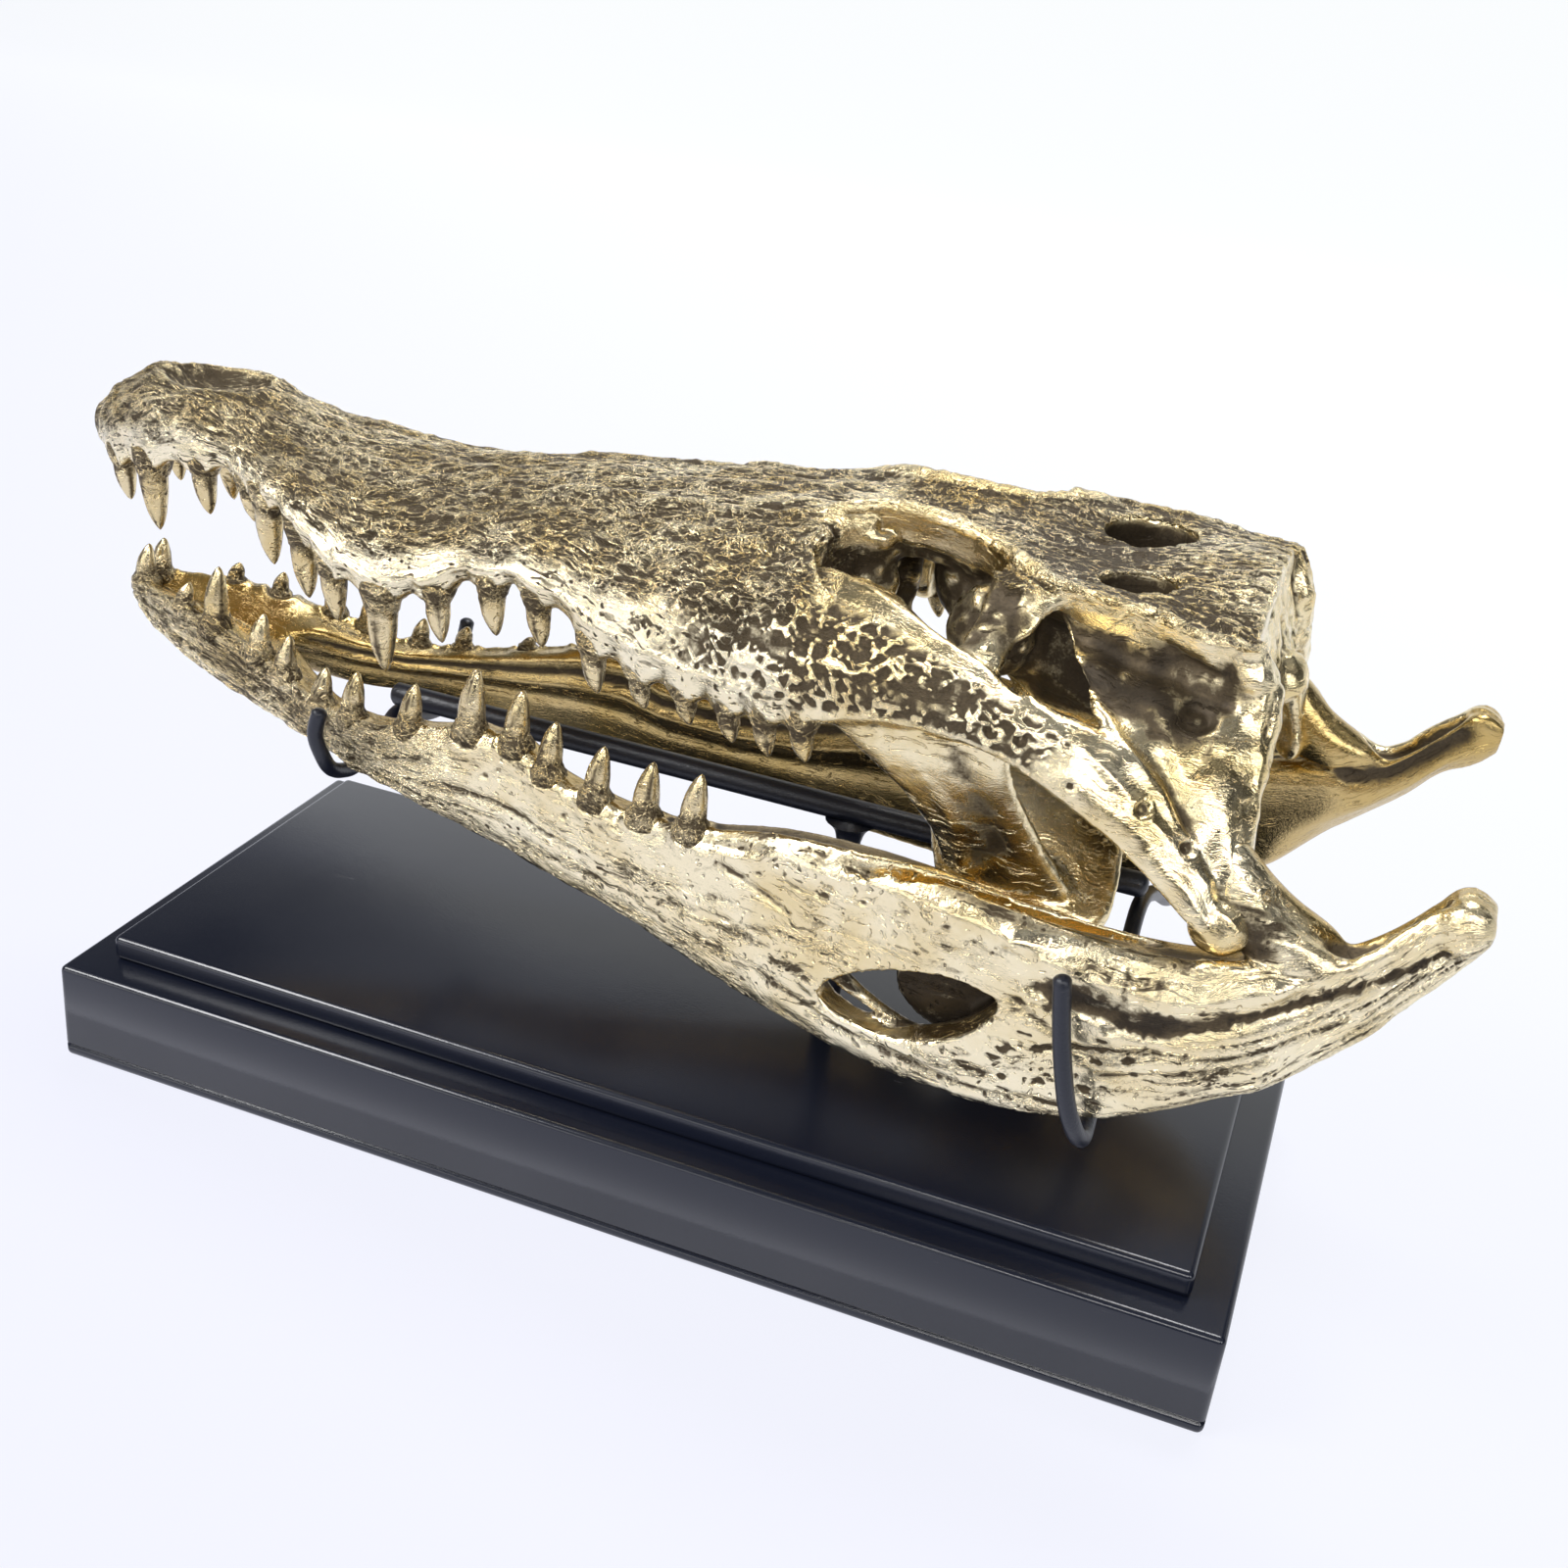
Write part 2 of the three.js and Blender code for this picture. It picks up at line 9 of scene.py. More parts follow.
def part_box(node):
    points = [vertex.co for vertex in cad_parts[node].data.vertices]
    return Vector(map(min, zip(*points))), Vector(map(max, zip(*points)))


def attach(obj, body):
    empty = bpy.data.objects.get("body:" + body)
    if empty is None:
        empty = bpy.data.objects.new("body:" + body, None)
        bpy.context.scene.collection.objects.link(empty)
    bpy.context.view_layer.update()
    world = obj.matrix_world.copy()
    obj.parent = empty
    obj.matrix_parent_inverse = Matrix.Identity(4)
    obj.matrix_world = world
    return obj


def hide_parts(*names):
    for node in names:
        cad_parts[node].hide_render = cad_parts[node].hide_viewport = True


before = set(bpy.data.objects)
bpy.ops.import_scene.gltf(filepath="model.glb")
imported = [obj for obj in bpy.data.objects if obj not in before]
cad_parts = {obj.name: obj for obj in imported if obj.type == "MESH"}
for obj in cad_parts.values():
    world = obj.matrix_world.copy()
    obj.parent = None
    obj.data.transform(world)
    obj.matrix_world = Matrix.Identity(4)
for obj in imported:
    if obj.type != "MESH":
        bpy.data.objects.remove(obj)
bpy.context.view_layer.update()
MM = 0.001
scene = bpy.context.scene

# ------------------------------------------------------------ upper skull: the rough casting
# One brass casting of the whole upper skull, from the snout to the joint of the jaw.
# It is poured in a mould taken from a real skull, so every ridge and hole of the bone is in it.
# It rests on the lower jaw at the two joints.

# Sizes are in millimetres: x from the snout to the back, y to the right side, levels up from the table.

# x, half-width, level of the midline, level of the gum, level of the palate
SNOUT = [
    (-237.5, 3, 206, 201, 202.5), (-236, 6.5, 208.5, 199, 201.5), (-233, 9.5, 211, 196.5, 201),
    (-226, 14.5, 217.5, 196, 202), (-217, 19, 222.5, 196, 203), (-205, 24, 227, 198, 205),
    (-190, 27, 229, 201, 207), (-177, 27, 227, 202.5, 208), (-167, 28, 222, 202.5, 207),
    (-156, 31.5, 217.5, 200.5, 206), (-142, 38.5, 215, 198, 205), (-128, 44.5, 213.5, 192.5, 203),
    (-113, 48, 213.5, 184, 200), (-98, 49.5, 214.5, 182, 198), (-84, 48.5, 216, 185, 198),
    (-68, 48, 218.5, 192.5, 199), (-50, 50.5, 221, 195.5, 200), (-34, 53.5, 223, 191, 198),
    (-20, 57, 225, 184, 195), (-4, 60.5, 227, 180.5, 192), (16, 65, 229.5, 180, 190),
    (36, 69.5, 231.5, 181.5, 190), (50, 72.5, 232, 184, 191),
]
# x, half-width, level at the midline, level at the rim, thickness
ROOF = [
    (12, 25, 226, 224, 12), (22, 27, 229, 229.5, 14), (36, 26, 230.5, 232, 14), (50, 20.5, 231, 235, 13),
    (64, 19.5, 231.5, 235, 13), (76, 22, 231.5, 234, 13), (87, 27, 231, 232.5, 12),
    (96, 37, 229.5, 232, 12), (106, 44.5, 228, 231.5, 12), (120, 46.5, 228, 230.5, 12),
    (138, 49, 231, 229.5, 12), (152, 51, 234, 226.5, 13), (159, 50, 235, 224.5, 14),
    (163.5, 44, 235.5, 226, 14),
]
# x, half-width, lower edge, half-width and level of the upper edge
CHEEK = [
    (40, 70, 182, 44.5, 219), (48, 72.5, 184, 46, 220.5), (58, 74.5, 187.5, 51, 221.5),
    (70, 77, 191.5, 57.5, 220), (83, 79.5, 193.5, 63, 215.5), (96, 81, 194, 67, 212),
    (106, 82, 193, 70, 207.5), (116, 82.5, 189.5, 72, 206.5), (128, 83, 184, 72, 204),
    (142, 83.5, 176.5, 70, 198.5), (154, 84, 168, 69, 188), (164, 84.5, 160.5, 67, 178),
    (172, 83.5, 154, 66, 169), (177, 80.5, 154.5, 67, 162),
]
# level, front edge x and y, rear edge x and y, thickness
QUADRATE = [
    (227, 109, 44, 165, 50, 8), (219, 113, 46, 169, 47, 8), (212, 120, 55, 172, 48, 9),
    (204, 130, 68, 173, 52, 10), (196, 137, 74, 173.5, 57, 11), (187, 144, 78, 174, 63, 12),
    (177, 152, 80, 175.5, 68, 13), (167, 161, 80, 178.5, 70, 14), (158, 164, 79, 180.5, 70, 15),
    (152.5, 167, 77, 178.5, 71, 12),
]
# level, front x, rear x, half-width beside the brain, half-width at the back of the head
BRAINCASE = [
    (228, 66, 163, 14, 40), (218, 66, 166, 16, 46), (208, 68, 169, 18, 50), (198, 76, 171, 18, 54),
    (188, 92, 170, 18, 52), (178, 99, 166, 15, 34), (166, 112, 152, 10, 16),
]
# half-width, front x and level, rear x and level, thickness
WING = [
    (-3, 66, 180, 132, 177, 9), (14, 68, 178, 133, 172, 8), (28, 74, 170, 136, 160, 7),
    (40, 82, 157, 139, 149, 7), (48, 88, 145, 139, 141, 9), (53, 92, 139, 136, 137, 8),
]
# level, front x, rear x, half-width, thickness
STRUT = [
    (192, 54, 106, 72, 8), (182, 64, 108, 69, 8), (170, 76, 112, 62.5, 8), (156, 86, 119, 55.5, 8),
    (142, 92, 128, 50.5, 9), (136, 97, 124, 49, 8),
]
# level, x, half-width, radius along and across
POSTORBITAL = [
    (229, 103, 40, 13, 8), (222, 100, 46, 10, 6), (214, 95, 55, 7, 6), (206, 93, 65, 8, 5),
    (198, 93, 72, 11, 4),
]
PILLAR = [(226, 46, 18, 10, 7), (212, 47, 15, 10, 7), (198, 46, 14, 9, 7), (184, 45, 12, 10, 8)]
# x, half-width, underside, upper side
PALATINE = [
    (-30, 18, 189, 200), (0, 15, 182, 194), (40, 14, 175, 187), (60, 14, 171, 181.5), (82, 15, 169, 181),
]
# x at the gum and length of the teeth, front to back
UPPER_TEETH = [
    (-219, 16), (-202, 24), (-180, 17), (-160, 14), (-150, 23), (-131, 22), (-118, 19), (-99, 26),
    (-80, 17), (-61, 17), (-44, 16), (-23, 16), (-6, 11), (10, 10), (25, 11), (37, 12), (49, 12),
]
TOOTH_INSET = 4.5  # from the outer face of the jaw to the middle of a tooth


def between(rows, parts, closed=False):
    """The rows with parts steps from each to the next, on a smooth curve through them."""
    rows = np.asarray(rows, float)
    count = len(rows)
    steps = np.arange(0, count if closed else count - 1 + 1e-9, 1 / parts)
    first = np.minimum(np.floor(steps).astype(int), count - 1 if closed else count - 2)
    t = (steps - first).reshape((-1,) + (1,) * (rows.ndim - 1))
    at = [(first + k) % count if closed else np.clip(first + k, 0, count - 1) for k in (-1, 0, 1, 2)]
    a, b, c, d = (rows[k] for k in at)
    return b + 0.5 * t * (c - a + t * (2 * a - 5 * b + 4 * c - d + t * (3 * (b - c) + d - a)))


def keep(name, bm):
    """The bmesh becomes an object in the scene."""
    mesh = bpy.data.meshes.new(name)
    bm.to_mesh(mesh)
    bm.free()
    piece = bpy.data.objects.new(name, mesh)
    scene.collection.objects.link(piece)
    return piece


def skin(name, rings, around=3, along=3):
    """A closed solid over rings of points: a grid moved onto the rings, joined at its seam and capped."""
    rings = between(np.asarray(rings, float), along)
    rings = between(np.swapaxes(rings, 0, 1), around, closed=True)
    rings = np.swapaxes(rings, 0, 1) * MM
    rows, columns = rings.shape[:2]
    bm = bmesh.new()
    bmesh.ops.create_grid(bm, x_segments=columns, y_segments=rows - 1, size=1)
    bm.verts.ensure_lookup_table()
    for i, vert in enumerate(bm.verts):
        row, column = divmod(i, columns + 1)
        vert.co = rings[row][column % columns]
    bmesh.ops.remove_doubles(bm, verts=bm.verts, dist=1e-7)
    bmesh.ops.holes_fill(bm, edges=[e for e in bm.edges if e.is_boundary], sides=0)
    bmesh.ops.recalc_face_normals(bm, faces=bm.faces)
    return keep(name, bm)


def flipped(piece):
    """The same solid on the other side of the midline."""
    bm = bmesh.new()
    bm.from_mesh(piece.data)
    bmesh.ops.transform(bm, matrix=Matrix.Scale(-1, 4, (0, 1, 0)), verts=bm.verts)
    bmesh.ops.recalc_face_normals(bm, faces=bm.faces)
    return keep(piece.name + "_flipped", bm)


def both(name, rings):
    """A solid and its partner on the other side."""
    piece = skin(name, rings)
    return [piece, flipped(piece)]


def settle(piece):
    """The piece's modifiers become part of its mesh."""
    graph = bpy.context.evaluated_depsgraph_get()
    mesh = bpy.data.meshes.new_from_object(piece.evaluated_get(graph))
    piece.modifiers.clear()
    old, piece.data = piece.data, mesh
    bpy.data.meshes.remove(old)
    return piece


def cut(piece, cutters):
    """Takes the cutters out of the piece."""
    for cutter in cutters:
        change = piece.modifiers.new("cut", "BOOLEAN")
        change.operation = "DIFFERENCE"
        change.solver = "MANIFOLD"
        change.object = cutter
    settle(piece)
    for cutter in cutters:
        bpy.data.objects.remove(cutter)
    return piece


def fused(name, pieces, cell, smooth):
    """Overlapping solids melted into one skin, as in the casting, with rounded inside corners."""
    bm = bmesh.new()
    for piece in pieces:
        bm.from_mesh(piece.data)
        bpy.data.objects.remove(piece)
    whole = keep(name, bm)
    remesh = whole.modifiers.new("skin", "REMESH")
    remesh.mode = "VOXEL"
    remesh.voxel_size = cell
    soften = whole.modifiers.new("soften", "SMOOTH")
    soften.factor = 0.5
    soften.iterations = smooth
    return settle(whole)


def well(x, y, length, width, turn, low, high, name="well"):
    """An upright oval cutter between two levels."""
    bm = bmesh.new()
    bmesh.ops.create_cone(bm, cap_ends=True, segments=48, radius1=1, radius2=1, depth=1)
    place = Matrix.Translation((x * MM, y * MM, (low + high) / 2 * MM)) @ Matrix.Rotation(turn, 4, "Z")
    place = place @ Matrix.Diagonal((length / 2 * MM, width / 2 * MM, (high - low) * MM, 1))
    bmesh.ops.transform(bm, matrix=place, verts=bm.verts)
    return keep(name, bm)


def egg(x, y, z, radii):
    """An egg with a radius for each axis."""
    bm = bmesh.new()
    bmesh.ops.create_uvsphere(bm, u_segments=32, v_segments=20, radius=1)
    place = Matrix.Translation((x * MM, y * MM, z * MM)) @ Matrix.Diagonal((*(r * MM for r in radii), 1))
    bmesh.ops.transform(bm, matrix=place, verts=bm.verts)
    return keep("egg", bm)


def half_ring(x, half):
    """A ring across the midline from the points of one half, given from the bottom up."""
    return [(x, y, z) for y, z in half] + [(x, -y, z) for y, z in reversed(half[1:-1])]


def oval_ring(x, y, z, rx, ry, sides=8):
    """A level ring round an upright axis."""
    angles = [2 * math.pi * k / sides for k in range(sides)]
    return [(x + rx * math.cos(a), y + ry * math.sin(a), z) for a in angles]


snout = skin("snout_skin", [half_ring(x, [
    (0, palate), (0.4 * w, palate + 0.5), (0.66 * w, palate), (0.77 * w, gum - 1.2), (0.86 * w, gum - 2.8),
    (0.95 * w, gum - 2.4), (0.995 * w, gum + 0.07 * (top - gum)), (w, gum + 0.24 * (top - gum)),
    (0.94 * w, gum + 0.5 * (top - gum)), (0.79 * w, gum + 0.74 * (top - gum)),
    (0.56 * w, gum + 0.89 * (top - gum)), (0.28 * w, gum + 0.975 * (top - gum)), (0, top),
]) for x, w, top, gum, palate in SNOUT])
roof = skin("roof_skin", [half_ring(x, [
    (0, mid - thick), (0.7 * w, mid - thick), (0.96 * w, rim - 0.6 * thick), (w, rim - 2.5), (0.95 * w, rim),
    (0.5 * w, 0.7 * mid + 0.3 * rim), (0, mid),
]) for x, w, mid, rim, thick in ROOF])
cheeks = both("cheek_skin", [[
    (x, w_up - 7, up - 5), (x, w - 11, low + 0.4 * (up - low)), (x, w - 8, low + 1), (x, w - 2, low),
    (x, w, low + 0.25 * (up - low)), (x, w - 1.5, low + 0.5 * (up - low)),
    (x, 0.45 * w + 0.55 * w_up, low + 0.85 * (up - low)), (x, w_up, up),
] for x, w, low, w_up, up in CHEEK])
quadrates = both("quadrate_skin", [[
    (fx, fy, z), (fx + 4, fy - t, z), (0.5 * (fx + rx), 0.5 * (fy + ry) - t, z), (rx - 3, ry - t, z),
    (rx, ry - 2, z), (rx - 3, ry + 3, z), (0.5 * (fx + rx) + 6, 0.5 * (fy + ry) + 1, z),
    (0.5 * (fx + rx) - 6, 0.5 * (fy + ry) + 2, z),
] for z, fx, fy, rx, ry, t in QUADRATE])
braincase = skin("braincase_skin", [[
    (r, 0, z), (r - 1, 0.55 * wr, z), (r - 3, wr, z), (r - 11, wr, z), (r - 14, w + 3, z),
    (f + 26, w + 2, z), (f, 0.5 * w, z), (f, -0.5 * w, z), (f + 26, -w - 2, z), (r - 14, -w - 3, z),
    (r - 11, -wr, z), (r - 3, -wr, z), (r - 1, -0.55 * wr, z),
] for z, f, r, w, wr in BRAINCASE])
wings = both("wing_skin", [[
    (fx, y, fz), (0.7 * fx + 0.3 * rx, y, 0.7 * fz + 0.3 * rz + 1),
    (0.3 * fx + 0.7 * rx, y, 0.3 * fz + 0.7 * rz + 1), (rx, y, rz),
    (rx - 2, y, rz - t), (0.3 * fx + 0.7 * rx, y, 0.3 * fz + 0.7 * rz - t),
    (0.7 * fx + 0.3 * rx, y, 0.7 * fz + 0.3 * rz - t), (fx + 2, y, fz - t),
] for y, fx, fz, rx, rz, t in WING])
struts = both("strut_skin", [[
    (f, y, z), (f + 3, y - t, z), (0.5 * (f + r), y - t, z), (r - 3, y - t, z), (r, y, z),
    (0.5 * (f + r), y + 1.5, z),
] for z, f, r, y, t in STRUT])
posts = both("post_skin", [oval_ring(x, y, z, rx, ry) for z, x, y, rx, ry in POSTORBITAL])
pillars = both("pillar_skin", [oval_ring(x, y, z, rx, ry) for z, x, y, rx, ry in PILLAR])
palatine = skin("palatine_skin", [half_ring(x, [
    (0, low), (0.75 * w, low + 1), (w, 0.5 * (low + up)), (0.7 * w, up), (0, up),
]) for x, w, low, up in PALATINE])

eyes = [well(69, side * 44.5, 65, 42, side * 0.38, 196, 260) for side in (1, -1)]
palate_windows = [well(40, side * 36, 76, 30, side * 0.12, 150, 197) for side in (1, -1)]
nostrils = egg(-190, 0, 229.5, (21, 17, 11))
cut(snout, [*eyes, *palate_windows, nostrils])
for piece in (roof, braincase):
    temple_holes = [well(127, -25, 22, 20, 0, 204, 260), well(122, 24, 28, 24, 0, 204, 260)]
    cut(piece, temple_holes)
spine_hole = egg(176, 0, 217, (12, 7, 7))
cut(braincase, [spine_hole])

CELL = 1.05 * MM  # mesh size of a fused skin
neck_knob = egg(169, 0, 203, (8, 8, 8))
capsules = [egg(88, side * 21, 205, (13, 9, 14)) for side in (1, -1)]
knuckles = [egg(163, side * 47, 218, (6.5, 5, 8)) for side in (1, -1)]
condyles = [egg(171.5, side * 75.5, 159.5, (9, 7, 8.5)) for side in (1, -1)]
cranium = fused("cranium", [
    snout, roof, braincase, palatine, neck_knob,
    *cheeks, *quadrates, *wings, *struts, *posts, *pillars, *capsules, *knuckles, *condyles,
], CELL, 5)


# The modelling of the bone: ridges, pits, wrinkles and sockets raised and sunk on the smooth casting.


def random_at(cells, seed):
    """A fixed random number from 0 to 1 for every lattice cell."""
    mixed = cells[..., 0] * 73856093 ^ cells[..., 1] * 19349663 ^ cells[..., 2] * 83492791 ^ seed * 97531357
    mixed = (mixed ^ (mixed >> 13)) * 1274126177 & 0x7FFFFFFF
    mixed = (mixed ^ (mixed >> 15)) * 668265263 & 0x7FFFFFFF
    return ((mixed ^ (mixed >> 12)) & 0xFFFF) / 0xFFFF


def lumps(points, size, seed, octaves=2):
    """Smooth random lumps from -1 to 1. size is their width in mm, one number or one for each axis."""
    total = np.zeros(len(points))
    for k in range(octaves):
        spots = points / np.asarray(size) * 2 ** k + 17.3 * k
        low = np.floor(spots).astype(np.int64)
        f = spots - low
        f = f * f * (3 - 2 * f)
        for corner in np.ndindex(2, 2, 2):
            share = np.prod(np.where(corner, f, 1 - f), axis=1)
            total += share * (2 * random_at(low + corner, seed + k) - 1) * 0.6 ** k
    return total


def cells(points, size, seed):
    """Distances to the nearest and the second nearest of scattered points, in cell widths."""
    spots = points / np.asarray(size)
    low = np.floor(spots).astype(np.int64)
    first = np.full(len(points), 9.0)
    second = first.copy()
    for step in np.ndindex(3, 3, 3):
        cell = low + step - 1
        spot = cell + np.stack([random_at(cell, seed + k) for k in range(3)], axis=1)
        far = np.linalg.norm(spots - spot, axis=1)
        second = np.minimum(second, np.maximum(first, far))
        first = np.minimum(first, far)
    return first, second


def ramp(value, low, high):
    """0 below low and 1 above high, with a soft rise between."""
    t = np.clip((value - low) / (high - low), 0, 1)
    return t * t * (3 - 2 * t)


def band(value, low, high, soft):
    """1 between low and high, fading to 0 at both."""
    return ramp(value, low - soft, low + soft) * (1 - ramp(value, high - soft, high + soft))


def from_line(points, line):
    """Distance of every point from a smooth line through the given places."""
    line = between(line, 4) if len(line) > 2 else np.asarray(line, float)
    nearest = np.full(len(points), 1e9)
    for a, b in zip(line[:-1], line[1:]):
        run = b - a
        t = np.clip((points - a) @ run / (run @ run), 0, 1)
        nearest = np.minimum(nearest, np.linalg.norm(points - a - t[:, None] * run, axis=1))
    return nearest


def bell(distance, width):
    """1 at no distance, fading to 0 past the width."""
    return np.exp(-(distance / width) ** 2)


def surface_of(piece):
    """Places and outward directions of the vertices in mm, and the vertex pairs of the edges."""
    mesh = piece.data
    places = np.empty(len(mesh.vertices) * 3)
    mesh.vertices.foreach_get("co", places)
    out = np.empty(len(mesh.vertices) * 3, np.float32)
    mesh.vertex_normals.foreach_get("vector", out)
    pairs = np.empty(len(mesh.edges) * 2, np.int64)
    mesh.edges.foreach_get("vertices", pairs)
    return places.reshape(-1, 3) / MM, out.reshape(-1, 3).astype(float), pairs.reshape(-1, 2)


def evened(places, pairs, rounds):
    """Places averaged with their neighbours along the edges, rounds times."""
    first, second = pairs.T
    count = np.bincount(pairs.ravel(), minlength=len(places))[:, None]
    for _ in range(rounds):
        sums = [
            np.bincount(first, c[second], len(c)) + np.bincount(second, c[first], len(c)) for c in places.T]
        places = 0.5 * places + 0.5 * np.stack(sums, -1) / count
    return places


def put_places(piece, places):
    """The vertices move to new places, in mm."""
    piece.data.vertices.foreach_set("co", (places * MM).ravel())
    piece.data.update()


def put_mark(piece, name, values):
    """A number from -1 to 1 at every vertex, for the finish to read."""
    mark = piece.data.attributes.new(name, "FLOAT", "POINT")
    mark.data.foreach_set("value", np.clip(values, -1, 1).astype(np.float32))


def put_along(piece, values):
    """Places in mm as if the bone were straight, for marks that follow its length."""
    mark = piece.data.attributes.new("along", "FLOAT_VECTOR", "POINT")
    mark.data.foreach_set("vector", (values * MM).ravel().astype(np.float32))


HOLLOW_ROUNDS = 8
HOLLOW_DEPTH = 0.8  # of a pit that counts as fully hollow


def mark_hollows(piece):
    """The hollow mark: above 0 in pits and creases, below 0 on ridges."""
    places, out, pairs = surface_of(piece)
    around = evened(places, pairs, HOLLOW_ROUNDS)
    put_mark(piece, "hollow", ((around - places) * out).sum(1) / HOLLOW_DEPTH)


def thinned(piece, most):
    """At most this many triangles, kept where the surface bends."""
    triangles = sum(len(face.vertices) - 2 for face in piece.data.polygons)
    if triangles > most:
        change = piece.modifiers.new("thin", "DECIMATE")
        change.ratio = most / triangles
        settle(piece)


def table_at(table, column, x):
    """A column of a table of sizes at x."""
    return np.interp(x, [row[0] for row in table], [row[column] for row in table])


def half_thickness(length):
    """Half the thickness of a tooth at the gum."""
    return 2.1 + 0.1 * length


def from_sockets(points, teeth, table, gum_column):
    """Distance from the nearest root of a tooth, in half-thicknesses of that tooth."""
    nearest = np.full(len(points), 9.0)
    for tooth_x, length, *_ in teeth:
        root = (tooth_x, table_at(table, 1, tooth_x) - TOOTH_INSET, table_at(table, gum_column, tooth_x))
        away = np.linalg.norm((points - root) * (1, 1, 0.75), axis=1)
        nearest = np.minimum(nearest, away / half_thickness(length))
    return nearest


def raise_lines(relief, points, lines):
    """Raises a ridge along every line, or sinks a crease where the height is below 0."""
    for line, width, high in lines:
        relief += high * bell(from_line(points, line), width)


# Most of these values are 1 where the bone has that surface and fade to 0 around it.
# relief is how far a place is raised, and lift how far it's moved up.
places, out, _ = surface_of(cranium)
x, y, z = places.T
side = np.abs(y)
folded = np.stack([x, side, z], axis=1)
gum, crown = table_at(SNOUT, 3, x), table_at(SNOUT, 2, x)
height = (z - gum) / (crown - gum)
outside = ramp(out[:, 1] * np.sign(y) + 0.9 * out[:, 2], -0.25, 0.25)
on_snout = 1 - ramp(x, 38, 52)
rim = table_at(ROOF, 3, x)
on_table = ramp(x, 40, 55) * ramp(z, rim - 7, rim - 3) * ramp(out[:, 2], 0.3, 0.7)
low_edge = 0.24 + 0.06 * band(x, -120, -50, 15) + 0.2 * ramp(x, -60, 0) + 0.12 * lumps(places, 13, 33, 3)
bark = outside * np.maximum(on_snout * ramp(height, low_edge, low_edge + 0.22), 0.75 * on_table)
lip = outside * on_snout * band(height, -0.4, 0.46, 0.1)
cheek_low, cheek_up = table_at(CHEEK, 2, x), table_at(CHEEK, 4, x)
cheek_height = (z - cheek_low) / (cheek_up - cheek_low)
on_cheek = ramp(x, 20, 48) * (1 - ramp(x, 108, 132)) * band(cheek_height, 0.12, 0.86, 0.08)
on_cheek *= ramp(side, 42, 50)
on_cheek *= ramp(out[:, 1] * np.sign(y), 0.1, 0.5)
pitted = np.maximum(
    on_cheek, 0.8 * outside * band(x, 6, 48, 12) * band(height, 0.2, 0.66, 0.1) * ramp(side, 42, 52))
swirl = np.stack([lumps(places, 22, seed, 1) for seed in (3, 4, 5)], axis=1) * 7
grain = 1 - np.abs(lumps(places + swirl, (9, 2.2, 2.2), 11, 1)) * 2
knobs = lumps(places + 0.4 * swirl, 2.4, 21, 1)
relief = bark * (0.5 * grain + 0.4 * knobs)
relief += bark * ramp(height, 0.5, 0.9) * on_snout * lumps(places, (20, 8, 8), 31, 2)
near, next_near = cells(folded + 0.35 * swirl, (5.4, 4.5, 4.2), 41)
web = next_near - near + 0.2 * lumps(places, (12, 6, 6), 43, 1) + 0.12 * lumps(places, 2.6, 45, 1)
pit = ramp(web, 0.0, 0.17) * pitted
relief -= pit * (1.0 + 0.5 * lumps(places, 2.2, 51, 1))
relief += 0.4 * pitted
near, _ = cells(places, (5.5, 2.6, 2.6), 61)
oval = ramp(0.44 - near, 0, 0.14) * on_table * band(x, 126, 164, 5)
relief += 0.4 * oval

